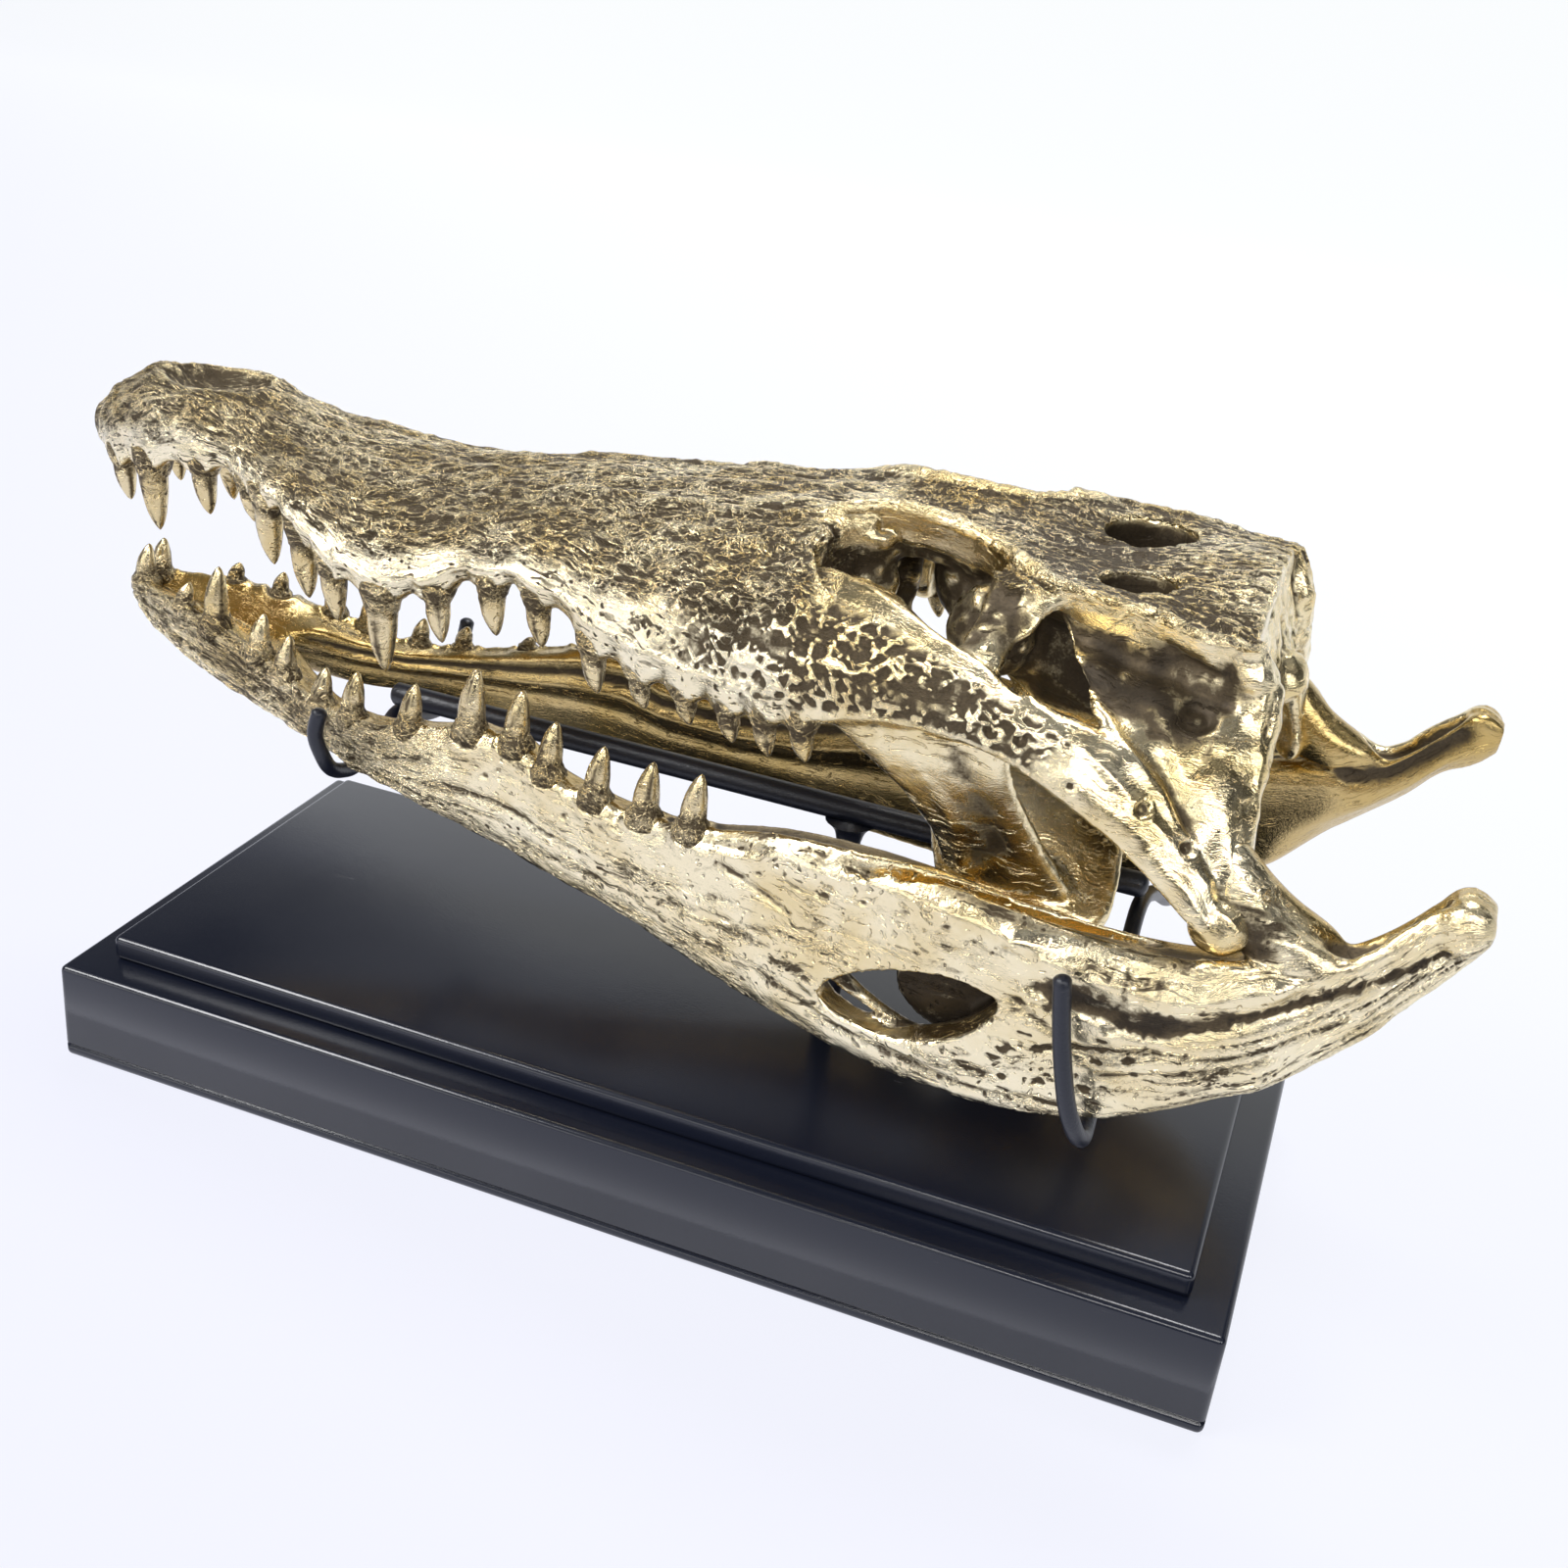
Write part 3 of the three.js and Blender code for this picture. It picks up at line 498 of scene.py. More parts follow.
RIDGES = [  # places of a line on one side, width, height
    ([(36, 26, 231), (50, 20.5, 234.5), (64, 19.5, 234.5), (76, 22, 233.5), (87, 27, 232),
      (96, 36, 231.5)], 2.2, 1.1),
    ([(96, 36, 231.5), (106, 43, 231), (120, 45.5, 230), (138, 47.5, 229), (152, 49.5, 226),
      (160, 48.5, 224)], 1.8, 1.2),
    ([(34, 34, 222), (39, 38, 219.5), (57, 52.5, 220.5), (77, 62, 217), (96, 67.5, 212),
      (111, 71, 207)], 1.7, 0.9),
    ([(111, 71, 207), (129, 78, 199), (144, 79, 189), (164, 79.5, 172), (176, 81.5, 161)], 1.7, 0.8),
    ([(50, 73, 186), (70, 77.5, 193.5), (96, 81.5, 195.5), (116, 83, 191), (142, 84, 178),
      (166, 85, 160)], 1.6, 0.9),
    ([(110, 49, 218), (118, 56, 212), (127, 64, 206)], 1.2, 1.3),
    ([(127, 64, 206), (138, 71.5, 199.5), (147, 73.5, 192), (156, 76, 183), (166, 78, 172)], 2.2, 1.3),
    ([(160, 50, 222), (168, 51.5, 212), (173, 60, 195), (178, 70, 178), (184, 72, 164)], 1.8, 0.9),
    ([(108, 46, 221), (128, 51, 217.5), (145, 52.5, 215), (158, 53, 211)], 3.4, -2),
    ([(120, 55, 213), (132, 61, 206), (146, 67, 195), (156, 71, 184)], 2.6, -1.6),
    ([(130, 66, 203), (142, 71, 194), (152, 75, 184), (160, 77, 174)], 1.5, -0.9),
    ([(120, 74, 203), (132, 78.5, 195), (144, 80, 185), (156, 80.5, 174), (168, 81, 162)], 1.6, -0.8),
    ([(140, 58, 209), (147, 62, 202), (154, 66, 192), (162, 70, 180)], 2.4, 1.1),
    ([(160, 56, 203), (166, 61, 192), (171, 66, 180)], 2.6, -1.2),
    ([(92, 70, 190), (101, 61, 172), (106, 55, 154)], 4, -2),
    ([(84, 66, 180), (92, 61, 166), (96, 55, 150), (98, 51, 140)], 2.4, 1.2),
    ([(-226, 14, 205), (-205, 24, 209), (-180, 27, 212), (-166, 26.5, 211)], 2, 0.6),
    ([(-160, 28, 205), (-145, 37, 202), (-128, 44, 197), (-113, 48, 189), (-98, 49, 187),
      (-84, 48, 190)], 2.4, 0.8),
    ([(-84, 48, 190), (-68, 47.5, 197), (-50, 50, 200), (-34, 53, 197), (-10, 59, 190), (16, 65, 188),
      (36, 69.5, 188)], 2.2, 0.7),
    ([(10, 28, 229), (22, 36, 227), (32, 38, 223)], 2.2, 1.2),
    ([(-60, 20, 217), (-30, 21, 221), (0, 24, 225.5), (14, 26, 228.5)], 3, 1.1),
]
raise_lines(relief, folded, RIDGES)
PITS = [  # place on one side, radius and depth
    ((146, 79.5, 188), 2.4, 1.5), ((158.5, 77, 179), 2.6, 1.5), ((127, 83, 191), 1.5, 1.1),
    ((104, 81, 200), 2.3, 1.4), ((112, 81, 199.5), 2, 1.3), ((153, 57.5, 208), 6, 2.8),
    ((164, 58, 199), 2.2, 1.2), ((118, 80.5, 202), 2.1, 1.3), ((124, 79.5, 201), 1.7, 1),
    ((168, 62, 189), 2.6, 1.3), ((170, 30, 214), 2.6, 1.8), ((170, 38, 206), 2.2, 1.5),
    ((170, 26, 204), 2, 1.5), ((171, 34, 198), 1.8, 1.2), ((169, 44, 214), 1.9, 1.3),
    ((100, 50, 150), 7, 2.2),
]
for place, radius, deep in PITS:
    away = np.linalg.norm(folded - place, axis=1) / radius
    raised_rim = 0.25 if radius < 4 else 0
    relief -= deep * (1 - ramp(away, 0.45, 1.1)) - raised_rim * deep * bell(away - 1.25, 0.25)
socket = from_sockets(folded, UPPER_TEETH, SNOUT, 3)
gap = np.ones(len(x))
for tooth_x, length in UPPER_TEETH:
    gap *= 1 - bell(x - tooth_x, 1.3 * half_thickness(length))
relief += on_snout * (0.9 * bell(socket - 1.5, 0.5) - 0.5 * bell(socket - 1.05, 0.22))
half = table_at(SNOUT, 1, x)
edge = on_snout * (1 - ramp(height, 0.02, 0.3)) * ramp(side, 0.68 * half, 0.8 * half)
lift = edge * (3.4 * gap - 0.9 * (1 - gap) * (side < half - 1))
smooth_parts = (1 - bark) * (1 - pitted)
relief += 0.25 * smooth_parts * lumps(places, 6, 71, 2)
hind = ramp(x, 154, 166) * ramp(z, 180, 196)
relief += hind * (0.9 * lumps(places, 9, 73, 2) - 0.9 * ramp(lumps(places, 4.5, 75, 1), 0.3, 0.55))
# The eye sockets under their raised brow, the recess behind them and the column down to the joint.
lip_line = np.interp(x, (32, 57, 77, 96, 111), (33, 52, 62, 67.5, 71))
roof_half = table_at(ROOF, 1, x)
brow = band(x, 34, 104, 5) * band(z - rim, -11, 1, 2) * band(side - roof_half, -5, 5, 1)
in_eye = band(x, 38, 104, 5) * band(z, 188, 229, 3) * (1 - ramp(side - lip_line, -9, -2)) * (1 - brow)
relief += 1.1 * in_eye * lumps(places, 6, 77, 2)
relief += 1.2 * brow
recess = band(x, 104, 162, 4) * band(z, 196, 221, 3) * ramp(side, 42, 47) * (1 - ramp(side, 60, 68))
relief += recess * (0.55 * lumps(places, 6, 79, 2) + 0.3 * lumps(places, 2.4, 80, 1))
quadrate = band(x, 112, 190, 4) * band(z, 156, 206, 4) * ramp(side, 52, 60)
sloping = places @ np.array([[0.77, 0, 0.64], [0, 1, 0], [-0.64, 0, 0.77]])
relief += 0.16 * quadrate * lumps(sloping, (3, 6, 26), 82, 1)


def within(centre, radii):
    """1 in an egg-shaped space, fading to 0 past its border."""
    return 1 - ramp(np.linalg.norm((folded - centre) / radii, axis=1), 0.85, 1.15)


blotch = ramp(lumps(places, 7, 84, 2), -0.6, 0.5)
naris = within((-190, 0, 224), (21, 16, 9))
# The shade mark is partly the dark patina left where the polisher didn't reach, in the recess behind the
# eyes, the creases and at the tip of the snout, and partly painted shade: in the nostrils, the eye sockets,
# the deep ear pit, the holes beside the brain case and inside the gum line.
shade_beside_brain = band(x, 100, 160, 5) * band(z, 184, 229, 3) * (1 - ramp(side, 40, 47))
strut_crease = from_line(folded, [(92, 70, 190), (101, 61, 172), (106, 55, 154)])
cheek_crease = from_line(folded, [(120, 55, 213), (146, 67, 195), (156, 71, 184)])
# Painted shade on the underside inside the gum line, seen between the teeth.
shade_under_gum = on_snout * (1 - ramp(height, -0.05, 0.06)) * (1 - ramp(side, 0.86 * half, 0.93 * half))
shade = np.maximum.reduce([
    0.55 * naris,
    0.75 * in_eye,
    0.85 * shade_beside_brain,
    recess * (0.5 + 0.4 * blotch),
    0.8 * within((153, 57.5, 208), (7.5, 7.5, 7.5)),
    0.75 * blotch * bell(strut_crease, 6.5),
    0.6 * blotch * bell(cheek_crease, 2.8),
    0.45 * (1 - ramp(x, -237, -228)),
    0.7 * shade_under_gum,
])
places += out * relief[:, None]
places[:, 2] += lift
put_places(cranium, places)
smoothed = (1 - 0.7 * naris) * (1 - 0.8 * brow) * (1 - 0.7 * oval)
put_mark(cranium, "bark", bark * smoothed * (1 + 0.35 * on_table))
put_mark(cranium, "pitted", pit)
put_mark(cranium, "lip", lip)
# The inner mark is on the faces turned inwards and downwards, inside the mouth and under the snout, and at
# half strength on the brow; the finish gives it a deeper, darker gold as painted reflection of brass on
# brass and painted shade.
put_mark(cranium, "inner", np.maximum(on_snout * (1 - outside), 0.5 * brow))
put_mark(cranium, "shade", shade)
STRAIGHT = 45  # half-width and height of the snout, as if it were straight
wide = y * STRAIGHT / np.maximum(half, 20)
tall = (z - gum) * np.where(x < 50, STRAIGHT / (crown - gum), 1)
put_along(cranium, np.stack([x, wide, tall], axis=1))
mark_hollows(cranium)
thinned(cranium, most=195000)


# The finish: cast brass whose hollows hold a dark brown patina, with its ridges polished bright. The shade
# mark adds painted shade in holes and under overhangs, and the inner mark a painted deeper gold on the inner
# faces.


def material(name, color, metallic, roughness):
    """A plain material and its shader."""
    made = bpy.data.materials.new(name)
    made.use_nodes = True
    shader = made.node_tree.nodes["Principled BSDF"]
    shader.inputs["Base Color"].default_value = (*color, 1)
    shader.inputs["Metallic"].default_value = metallic
    shader.inputs["Roughness"].default_value = roughness
    return made, shader


def node(tree, kind, inputs, **settings):
    """A shader node, with each named or numbered input linked or set."""
    made = tree.nodes.new("ShaderNode" + kind)
    for key, value in settings.items():
        setattr(made, key, value)
    for key, value in inputs.items():
        if isinstance(value, bpy.types.NodeSocket):
            tree.links.new(value, made.inputs[key])
        else:
            made.inputs[key].default_value = value
    return made


def group(name, ins, outs):
    """An empty shader group, with its named inputs to read and its named outputs to fill."""
    tree = bpy.data.node_groups.new(name, "ShaderNodeTree")
    for key, kind in ins.items():
        tree.interface.new_socket(name=key, in_out="INPUT", socket_type="NodeSocket" + kind)
    for key, kind in outs.items():
        tree.interface.new_socket(name=key, in_out="OUTPUT", socket_type="NodeSocket" + kind)
    return tree, tree.nodes.new("NodeGroupInput").outputs, tree.nodes.new("NodeGroupOutput").inputs


def calc(tree, operation, *values):
    """One step of arithmetic on values or numbers."""
    return node(tree, "Math", dict(enumerate(values)), operation=operation).outputs[0]


def eased(tree, value, low, high, to=(0, 1)):
    """The value taken from low and high to two others, with a soft start and end."""
    sizes = {"Value": value, "From Min": low, "From Max": high, "To Min": to[0], "To Max": to[1]}
    return node(tree, "MapRange", sizes, interpolation_type="SMOOTHSTEP").outputs["Result"]


def blend(tree, share, a, b):
    """Colour a where the share is 0 and colour b where it is 1."""
    return node(tree, "Mix", {0: share, 6: a, 7: b}, data_type="RGBA").outputs[2]


def cloud(tree, place, size_mm, detail=3, rough=0.5, stretch=(1, 1, 1)):
    """Noise whose lumps are size_mm wide, longer along an axis where stretch is above 1."""
    spot = node(tree, "Mapping", {"Vector": place, "Scale": [1 / s for s in stretch]}).outputs[0]
    sizes = {"Vector": spot, "Scale": 1000 / size_mm, "Detail": detail, "Roughness": rough}
    return node(tree, "TexNoise", sizes).outputs[0]


def shifted(tree, place, noise, far):
    """The place, pushed up to far each way by the colour of a noise."""
    color = noise.node.outputs["Color"]
    middle = node(tree, "VectorMath", {0: color, 1: (0.5, 0.5, 0.5)}, operation="SUBTRACT").outputs[0]
    pushed = node(tree, "VectorMath", {0: middle, 1: (far, far, far), 2: place}, operation="MULTIPLY_ADD")
    return pushed.outputs[0]


def winding(tree, noise):
    """0 along the winding lines where a noise is at its middle."""
    return calc(tree, "ABSOLUTE", calc(tree, "SUBTRACT", noise, 0.5))


def total(tree, *parts):
    """The sum of pairs of factors."""
    value = 0.0
    for a, b in parts:
        value = calc(tree, "MULTIPLY_ADD", a, b, value)
    return value


def put_out(tree, result, values):
    """Each named value leaves the group by the socket of that name."""
    for name, value in values.items():
        tree.links.new(value, result[name])


def finish_from(recipe, name, color, metallic, roughness, depth):
    """A material whose colour, gloss and bumps come from a shader group."""
    made, shader = material(name, color, metallic, roughness)
    tree = made.node_tree
    cover = tree.nodes.new("ShaderNodeGroup")
    cover.node_tree = recipe
    bump = node(tree, "Bump", {"Height": cover.outputs["Height"], "Distance": depth, "Strength": 1.0})
    tree.links.new(cover.outputs["Color"], shader.inputs["Base Color"])
    tree.links.new(cover.outputs["Roughness"], shader.inputs["Roughness"])
    tree.links.new(bump.outputs[0], shader.inputs["Normal"])
    return made, shader, cover


def coated(piece, finish):
    """The piece takes its finish and is shaded smooth."""
    piece.data.materials.append(finish)
    for face in piece.data.polygons:
        face.use_smooth = True


MARKS = ("Hollow", "Bark", "Pitted", "Lip", "Inner", "Shade")
cast, marks, result = group(
    "cast_brass", {"Along": "Vector", **{mark: "Float" for mark in MARKS}},
    {"Color": "Color", "Roughness": "Float", "Metallic": "Float", "Height": "Float"})
place = node(cast, "TexCoord", {}).outputs["Object"]
bent = shifted(cast, marks["Along"], cloud(cast, place, 16, 2), 0.010)
fine_bent = shifted(cast, bent, cloud(cast, place, 2.4, 2), 0.0022)
wrinkle = winding(cast, cloud(cast, bent, 2.5, 3, 0.6, (2.4, 1, 1)))
crest = eased(cast, wrinkle, 0.012, 0.06, (1, 0))
fine_wrinkle = winding(cast, cloud(cast, fine_bent, 1.2, 2, 0.6, (2.2, 1, 1)))
fine_crest = eased(cast, fine_wrinkle, 0.01, 0.08, (1, 0))
flake = eased(cast, cloud(cast, fine_bent, 4.5, 3, 0.6, (2, 1, 1)), 0.4, 0.6, (-0.3, 0.35))
stain = eased(cast, cloud(cast, bent, 7, 6, 0.72, (2.6, 1, 1)), 0.52, 0.64)
grit = cloud(cast, place, 0.9, 4, 0.65)
patch = cloud(cast, place, 26, 4, 0.6)
streak = cloud(cast, bent, 1.7, 4, 0.6, (14, 1, 1))
brush = cloud(cast, bent, 0.5, 2, 0.5, (16, 1, 1))
speck = node(cast, "TexVoronoi", {"Vector": fine_bent, "Scale": 330.0, "Randomness": 1.0})
speck_choice = node(cast, "SeparateColor", {0: speck.outputs["Color"]}).outputs[0]
fleck = calc(cast, "MULTIPLY", eased(cast, speck.outputs["Distance"], 0.16, 0.3, (1, 0)),
             eased(cast, speck_choice, 0.4, 0.5))
fleck = calc(cast, "MULTIPLY", fleck, marks["Lip"])
crack = calc(cast, "MULTIPLY", eased(cast, streak, 0.38, 0.43, (1, 0)), eased(cast, patch, 0.38, 0.54))
bark_dull = total(
    cast, (eased(cast, patch, 0.3, 0.7, (0.8, 1.1)), 1.0), (flake, 1.0), (crest, -1.0), (fine_crest, -0.5))
dull = eased(cast, total(
    cast,
    (marks["Bark"], bark_dull),
    # the shade mark, partly patina and partly painted shade, dulls and darkens the brass
    (marks["Shade"], eased(cast, patch, 0.25, 0.65, (0.75, 1.25))),
    (fleck, 0.9),
    (crack, calc(cast, "MULTIPLY_ADD", marks["Lip"], 0.6, 0.25)),
    (marks["Hollow"], 1.25),
    (marks["Pitted"], 0.8),
    (stain, total(cast, (marks["Lip"], 0.35), (marks["Inner"], -0.15), (0.24, 1.0))),
    (calc(cast, "SUBTRACT", grit, 0.5), 0.6),
), 0.14, 0.8)
bright = blend(cast, eased(cast, patch, 0.35, 0.7), (0.92, 0.81, 0.55, 1), (0.76, 0.6, 0.3, 1))
bright = blend(cast, calc(cast, "MULTIPLY", marks["Lip"], 0.65), bright, (0.96, 0.88, 0.66, 1))
# Faces with the inner mark get a deeper, darker gold: painted reflection of brass on brass and painted
# shade.
bright = blend(cast, calc(cast, "MULTIPLY", marks["Inner"], 0.75), bright, (0.5, 0.34, 0.1, 1))
dark = blend(cast, grit, (0.015, 0.01, 0.006, 1), (0.15, 0.11, 0.06, 1))
# Where the shade mark is strong the dark goes near black, mostly as painted shade in holes and under
# overhangs.
dark = blend(cast, eased(cast, marks["Shade"], 0.6, 1, (0, 0.75)), dark, (0.012, 0.008, 0.005, 1))
bark_height = total(cast, (crest, 1.0), (fine_crest, 0.5), (grit, 0.6))
put_out(cast, result, {
    "Color": blend(cast, dull, bright, dark),
    "Roughness": total(cast, (dull, 0.36), (grit, 0.08), (brush, 0.12), (0.06, 1.0)),
    "Metallic": eased(cast, dull, 0.5, 1, (1, 0.6)),
    "Height": total(
        cast, (marks["Bark"], bark_height), (grit, 0.12), (brush, 0.1), (crack, -0.4), (fleck, -0.9),
        (marks["Pitted"], calc(cast, "MULTIPLY", grit, 0.9))),
})


def brass_finish(name, given):
    """Brass whose marks are read from the piece, or given as numbers."""
    made, shader, cover = finish_from(cast, name, (0.78, 0.57, 0.28), 1, 0.25, 0.0009)
    tree = made.node_tree
    tree.links.new(cover.outputs["Metallic"], shader.inputs["Metallic"])
    for mark in MARKS:
        if mark in given:
            cover.inputs[mark].default_value = given[mark]
        else:
            read = node(tree, "Attribute", {}, attribute_name=mark.lower())
            tree.links.new(read.outputs["Fac"], cover.inputs[mark])
    if "Along" in given:
        along = node(tree, "TexCoord", {}).outputs[given["Along"]]
    else:
        along = node(tree, "Attribute", {}, attribute_name="along").outputs["Vector"]
    tree.links.new(along, cover.inputs["Along"])
    return made


brass = brass_finish("brass", {})
coated(cranium, brass)
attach(cranium, "root")
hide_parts("snout", "skull_table", "braincase", "palate_wings", "cheek_left", "cheek_right")

# ------------------------------------------------------------ lower jaw: the rough casting
# One brass casting of both halves of the lower jaw, joined at the chin.
# It lies in the steel cradle and isn't fixed to it.

# x, outer half-width, upper edge, lower edge, half-width of the lower edge, half-width of the inner face
JAW = [
    (-225, 3, 146, 141, 1, -4), (-221, 8, 148, 135, 2.5, -3), (-213, 13.5, 148, 131, 5, -2),
    (-201, 18, 147.5, 127, 9, -2), (-188, 21.5, 146, 123.5, 13, -2), (-174, 24.5, 143.5, 120, 16, -1),
    (-159, 27.5, 140, 117.5, 19, 6), (-146, 30.5, 135.5, 115.5, 22, 13), (-130, 36, 132, 114.5, 28, 21),
    (-110, 42.5, 133, 112, 35, 28.5), (-88, 45.5, 137.5, 108, 38, 31.5), (-68, 47, 142.5, 105.5, 42, 33),
    (-50, 49, 143, 103, 45, 35), (-36, 51.5, 136.5, 101, 48, 37.5), (-10, 56.5, 134, 97.5, 53, 42.5),
    (16, 62, 137, 92, 58, 48), (44, 68.5, 145.5, 86.5, 64, 53.5), (72, 74.5, 149.5, 82.5, 69, 58.5),
    (96, 79, 150, 82, 73, 62), (120, 82, 148, 84, 77, 64), (146, 84, 147.5, 90.5, 80, 65),
    (166, 84.5, 148.5, 99.5, 80, 64.5), (182, 84, 152, 109, 79, 63), (192, 82, 155, 115, 78, 62),
    (203, 79, 159, 125.5, 76, 62), (214, 76, 169, 136.5, 74, 62), (223, 74, 179, 149, 72, 61),
    (230, 72, 182.5, 158, 70, 61), (236.5, 70, 179, 168, 69, 62),
]

# x at the gum and length of the teeth, front to back, on the left and on the right, where some are worn
LOWER_TEETH = [
    (-220, 13, 13), (-196, 8, 7), (-180, 21, 8), (-160, 14, 14), (-148, 14, 12), (-130, 13, 10),
    (-115, 16, 8), (-91, 15, 4), (-68, 21, 4), (-51, 18, 4), (-38, 17, 5), (-20, 17, 8), (-2, 18, 12),
    (15, 18, 14),
]


def jaw_ring(x, w, up, low, w_low, inner):
    """A ring of one half of the jaw; the halves join at the chin, where the inner face starts lower."""
    h = up - low
    start = 0.62 if inner < 1 else 0.93
    return [
        (x, inner, low + start * h), (x, inner + 0.1 * (w - inner), low + 0.5 * h),
        (x, 0.55 * w_low + 0.45 * inner, low + 0.12 * h), (x, w_low - 1, low),
        (x, 0.5 * (w_low + w), low + 0.1 * h), (x, w - 0.2, low + 0.34 * h), (x, w, low + 0.62 * h),
        (x, w - 1.2, low + 0.9 * h), (x, w - 5, up), (x, 0.6 * w + 0.4 * inner, up - 1),
    ]


def laid_across(cutter, x, y, z):
    """The upright cutter turned to lie across the jaw, with its middle at x, y, z."""
    place = Matrix.Translation((x * MM, y * MM, z * MM))
    cutter.data.transform(place @ Matrix.Rotation(math.pi / 2, 4, "X"))
    return cutter


jaw_half = skin("jaw_skin", [jaw_ring(*row) for row in JAW])
# The window starts as a round cutter of radius 1 m, so u and v run from -1 to 1.
window = well(0, 0, 2000, 2000, 0, -40, 40, "window")
for vert in window.data.vertices:
    u, v = vert.co.xy
    half_height = 13 if v < 0 else 9.5
    vert.co.xy = 29 * MM * u, half_height * MM * v * abs(v) ** 0.35 + 1.5 * MM * u
window.data.transform(Matrix.Rotation(0.28, 4, "Z"))
laid_across(window, 91, 71, 111)
joint_bed = laid_across(well(0, 0, 26, 26, 0, -35, 35, "joint_bed"), 175, 75, 165)
slot_inside = egg(112, 71, 153, (52, 3.2, 20))
cut(jaw_half, [window, slot_inside, joint_bed])
inner_wall = egg(108, 62, 111, (24, 2.4, 17))
# x, y, level of the bar inside the window
SPLINT = [(62, 65, 111), (70, 65, 104.5), (82, 66, 99), (97, 67, 95.5)]
splint = skin("splint", [oval_ring(*spot, 5, 2.4) for spot in SPLINT])
# x, y, level, radius along and across of the filled corner behind the joint
HEEL = [
    (169.5, 68, 181, 3, 4), (171, 68.5, 177, 6, 6), (174.5, 69, 171.5, 9, 8), (179, 69.5, 166, 13, 9.5),
    (187, 70, 160, 18, 10.5), (193, 70, 153, 19, 10),
]
heel = skin("heel", [oval_ring(*spot, 10) for spot in HEEL])
knob = egg(230, 71, 173.5, (7.2, 6, 8.2))
one_side = [jaw_half, inner_wall, splint, heel, knob]
mandible = fused("mandible", one_side + [flipped(piece) for piece in one_side], CELL, 4)

# The modelling of the bone: long streaks, two creases along the inside, ridges, pits and sockets.
places, out, _ = surface_of(mandible)
x, y, z = places.T
side = np.abs(y)
folded = np.stack([x, side, z], axis=1)
upper, lower = table_at(JAW, 2, x), table_at(JAW, 3, x)
height = (z - lower) / (upper - lower)
outside = ramp(out[:, 1] * np.sign(y), -0.1, 0.35)
swirl = np.stack([lumps(places, 26, seed, 1) for seed in (6, 7, 8)], axis=1) * 5
straight = np.stack([x, y, height * 50], axis=1)
streaks = lumps(straight + 0.5 * swirl, (26, 4, 2.6), 81, 2)
low_half = 1 - ramp(height, 0.42, 0.66)
inner_face = (1 - outside) * band(x, -160, 70, 25)
relief = inner_face * (
    1.0 * bell(height - 0.64, 0.06) - 1.2 * bell(height - 0.79, 0.07) - 0.9 * bell(height - 0.47, 0.07))
relief += outside * ((0.4 + 0.3 * low_half) * np.minimum(streaks, 0.25) + 0.2 * lumps(places, 5, 91, 2))
front = 1 - ramp(x, -120, -60)
relief += outside * front * 0.8 * lumps(places + swirl, (9, 3.5, 3.5), 95, 2)
JAW_RIDGES = [  # places of a line on one side, width, height
    ([(20, 61, 131), (44, 68, 139), (72, 74.5, 143.5), (96, 79, 144), (120, 82, 142)], 3, 0.9),
    ([(120, 81, 141), (141, 83, 138), (152, 83.5, 137.5), (165, 84, 138), (177, 83.5, 143),
      (189, 82, 148)], 3.6, 2),
    ([(189, 82, 148), (200, 79, 154), (210, 76, 160.5), (220, 74, 169), (229, 71, 177)], 2, 1.1),
    ([(128, 82, 130), (149, 84, 127.5), (160, 84, 127), (170, 84, 130), (184, 83, 138),
      (197, 80, 146)], 2.4, -1.6),
    ([(197, 80, 146), (212, 76, 155), (226, 73, 166)], 1.3, -0.9),
    ([(198, 71, 160), (206, 69, 163), (214, 68, 170), (221, 68, 178)], 3.6, -3.4),
    ([(196, 62, 152), (206, 61.5, 155), (216, 61.5, 164), (224, 61.5, 173)], 5, -2.6),
    ([(118, 81, 138), (140, 83.5, 143), (160, 84, 144.5)], 1.4, -0.7),
    ([(170, 81, 149), (179, 80, 151), (187, 78, 153), (196, 77, 155)], 3, 1.8),
    ([(184, 73, 168), (192, 74, 163), (201, 73, 160), (209, 71, 163)], 4, -2.4),
    ([(60, 72, 103), (75, 75, 97), (95, 78.5, 95), (118, 80, 101)], 3, 0.8),
    ([(118, 80, 101), (140, 83, 106), (165, 83.5, 113), (190, 80.5, 127)], 2, -0.9),
    ([(110, 80, 96), (130, 82, 100), (152, 82.5, 104), (172, 82.5, 110)], 1.4, -0.7),
    ([(118, 81, 110), (134, 82.5, 113), (150, 83, 118)], 1.5, -0.8),
    ([(56, 70, 126), (80, 75, 126), (104, 79, 127), (124, 82, 124)], 1.3, -0.8),
    ([(10, 60, 118), (40, 67, 120), (66, 72, 121)], 1.2, -0.6),
    ([(26, 63, 131), (40, 67, 128), (52, 70, 124)], 1.3, -0.9),
    ([(2, 59, 131), (20, 62, 135.5), (40, 67, 139)], 1.6, -1),
    ([(52, 68, 104), (62, 71.5, 100), (80, 75, 94), (100, 79, 91), (120, 80.5, 94)], 1.3, -0.8),
    ([(30, 63, 104), (55, 69, 97), (85, 75, 90), (120, 80, 90), (150, 81.5, 98)], 1.2, -0.7),
    ([(124, 82, 124), (133, 83, 119), (146, 83.5, 114)], 1.4, -0.9),
    ([(203, 76, 158), (214, 73, 168), (222, 71, 176)], 2.4, 0.8),
    ([(-40, 50, 118), (-10, 56, 113), (20, 62, 112), (45, 68, 116)], 1.3, -0.7),
    ([(-90, 45, 124), (-60, 47.5, 122), (-30, 52, 120)], 1.1, -0.5),
]
raise_lines(relief, folded, JAW_RIDGES)
near, _ = cells(folded + 0.5 * swirl, (7, 4, 3.2), 97)
gouge = ramp(0.33 - near + 0.2 * lumps(places, 2.4, 98, 1), 0, 0.14) * outside
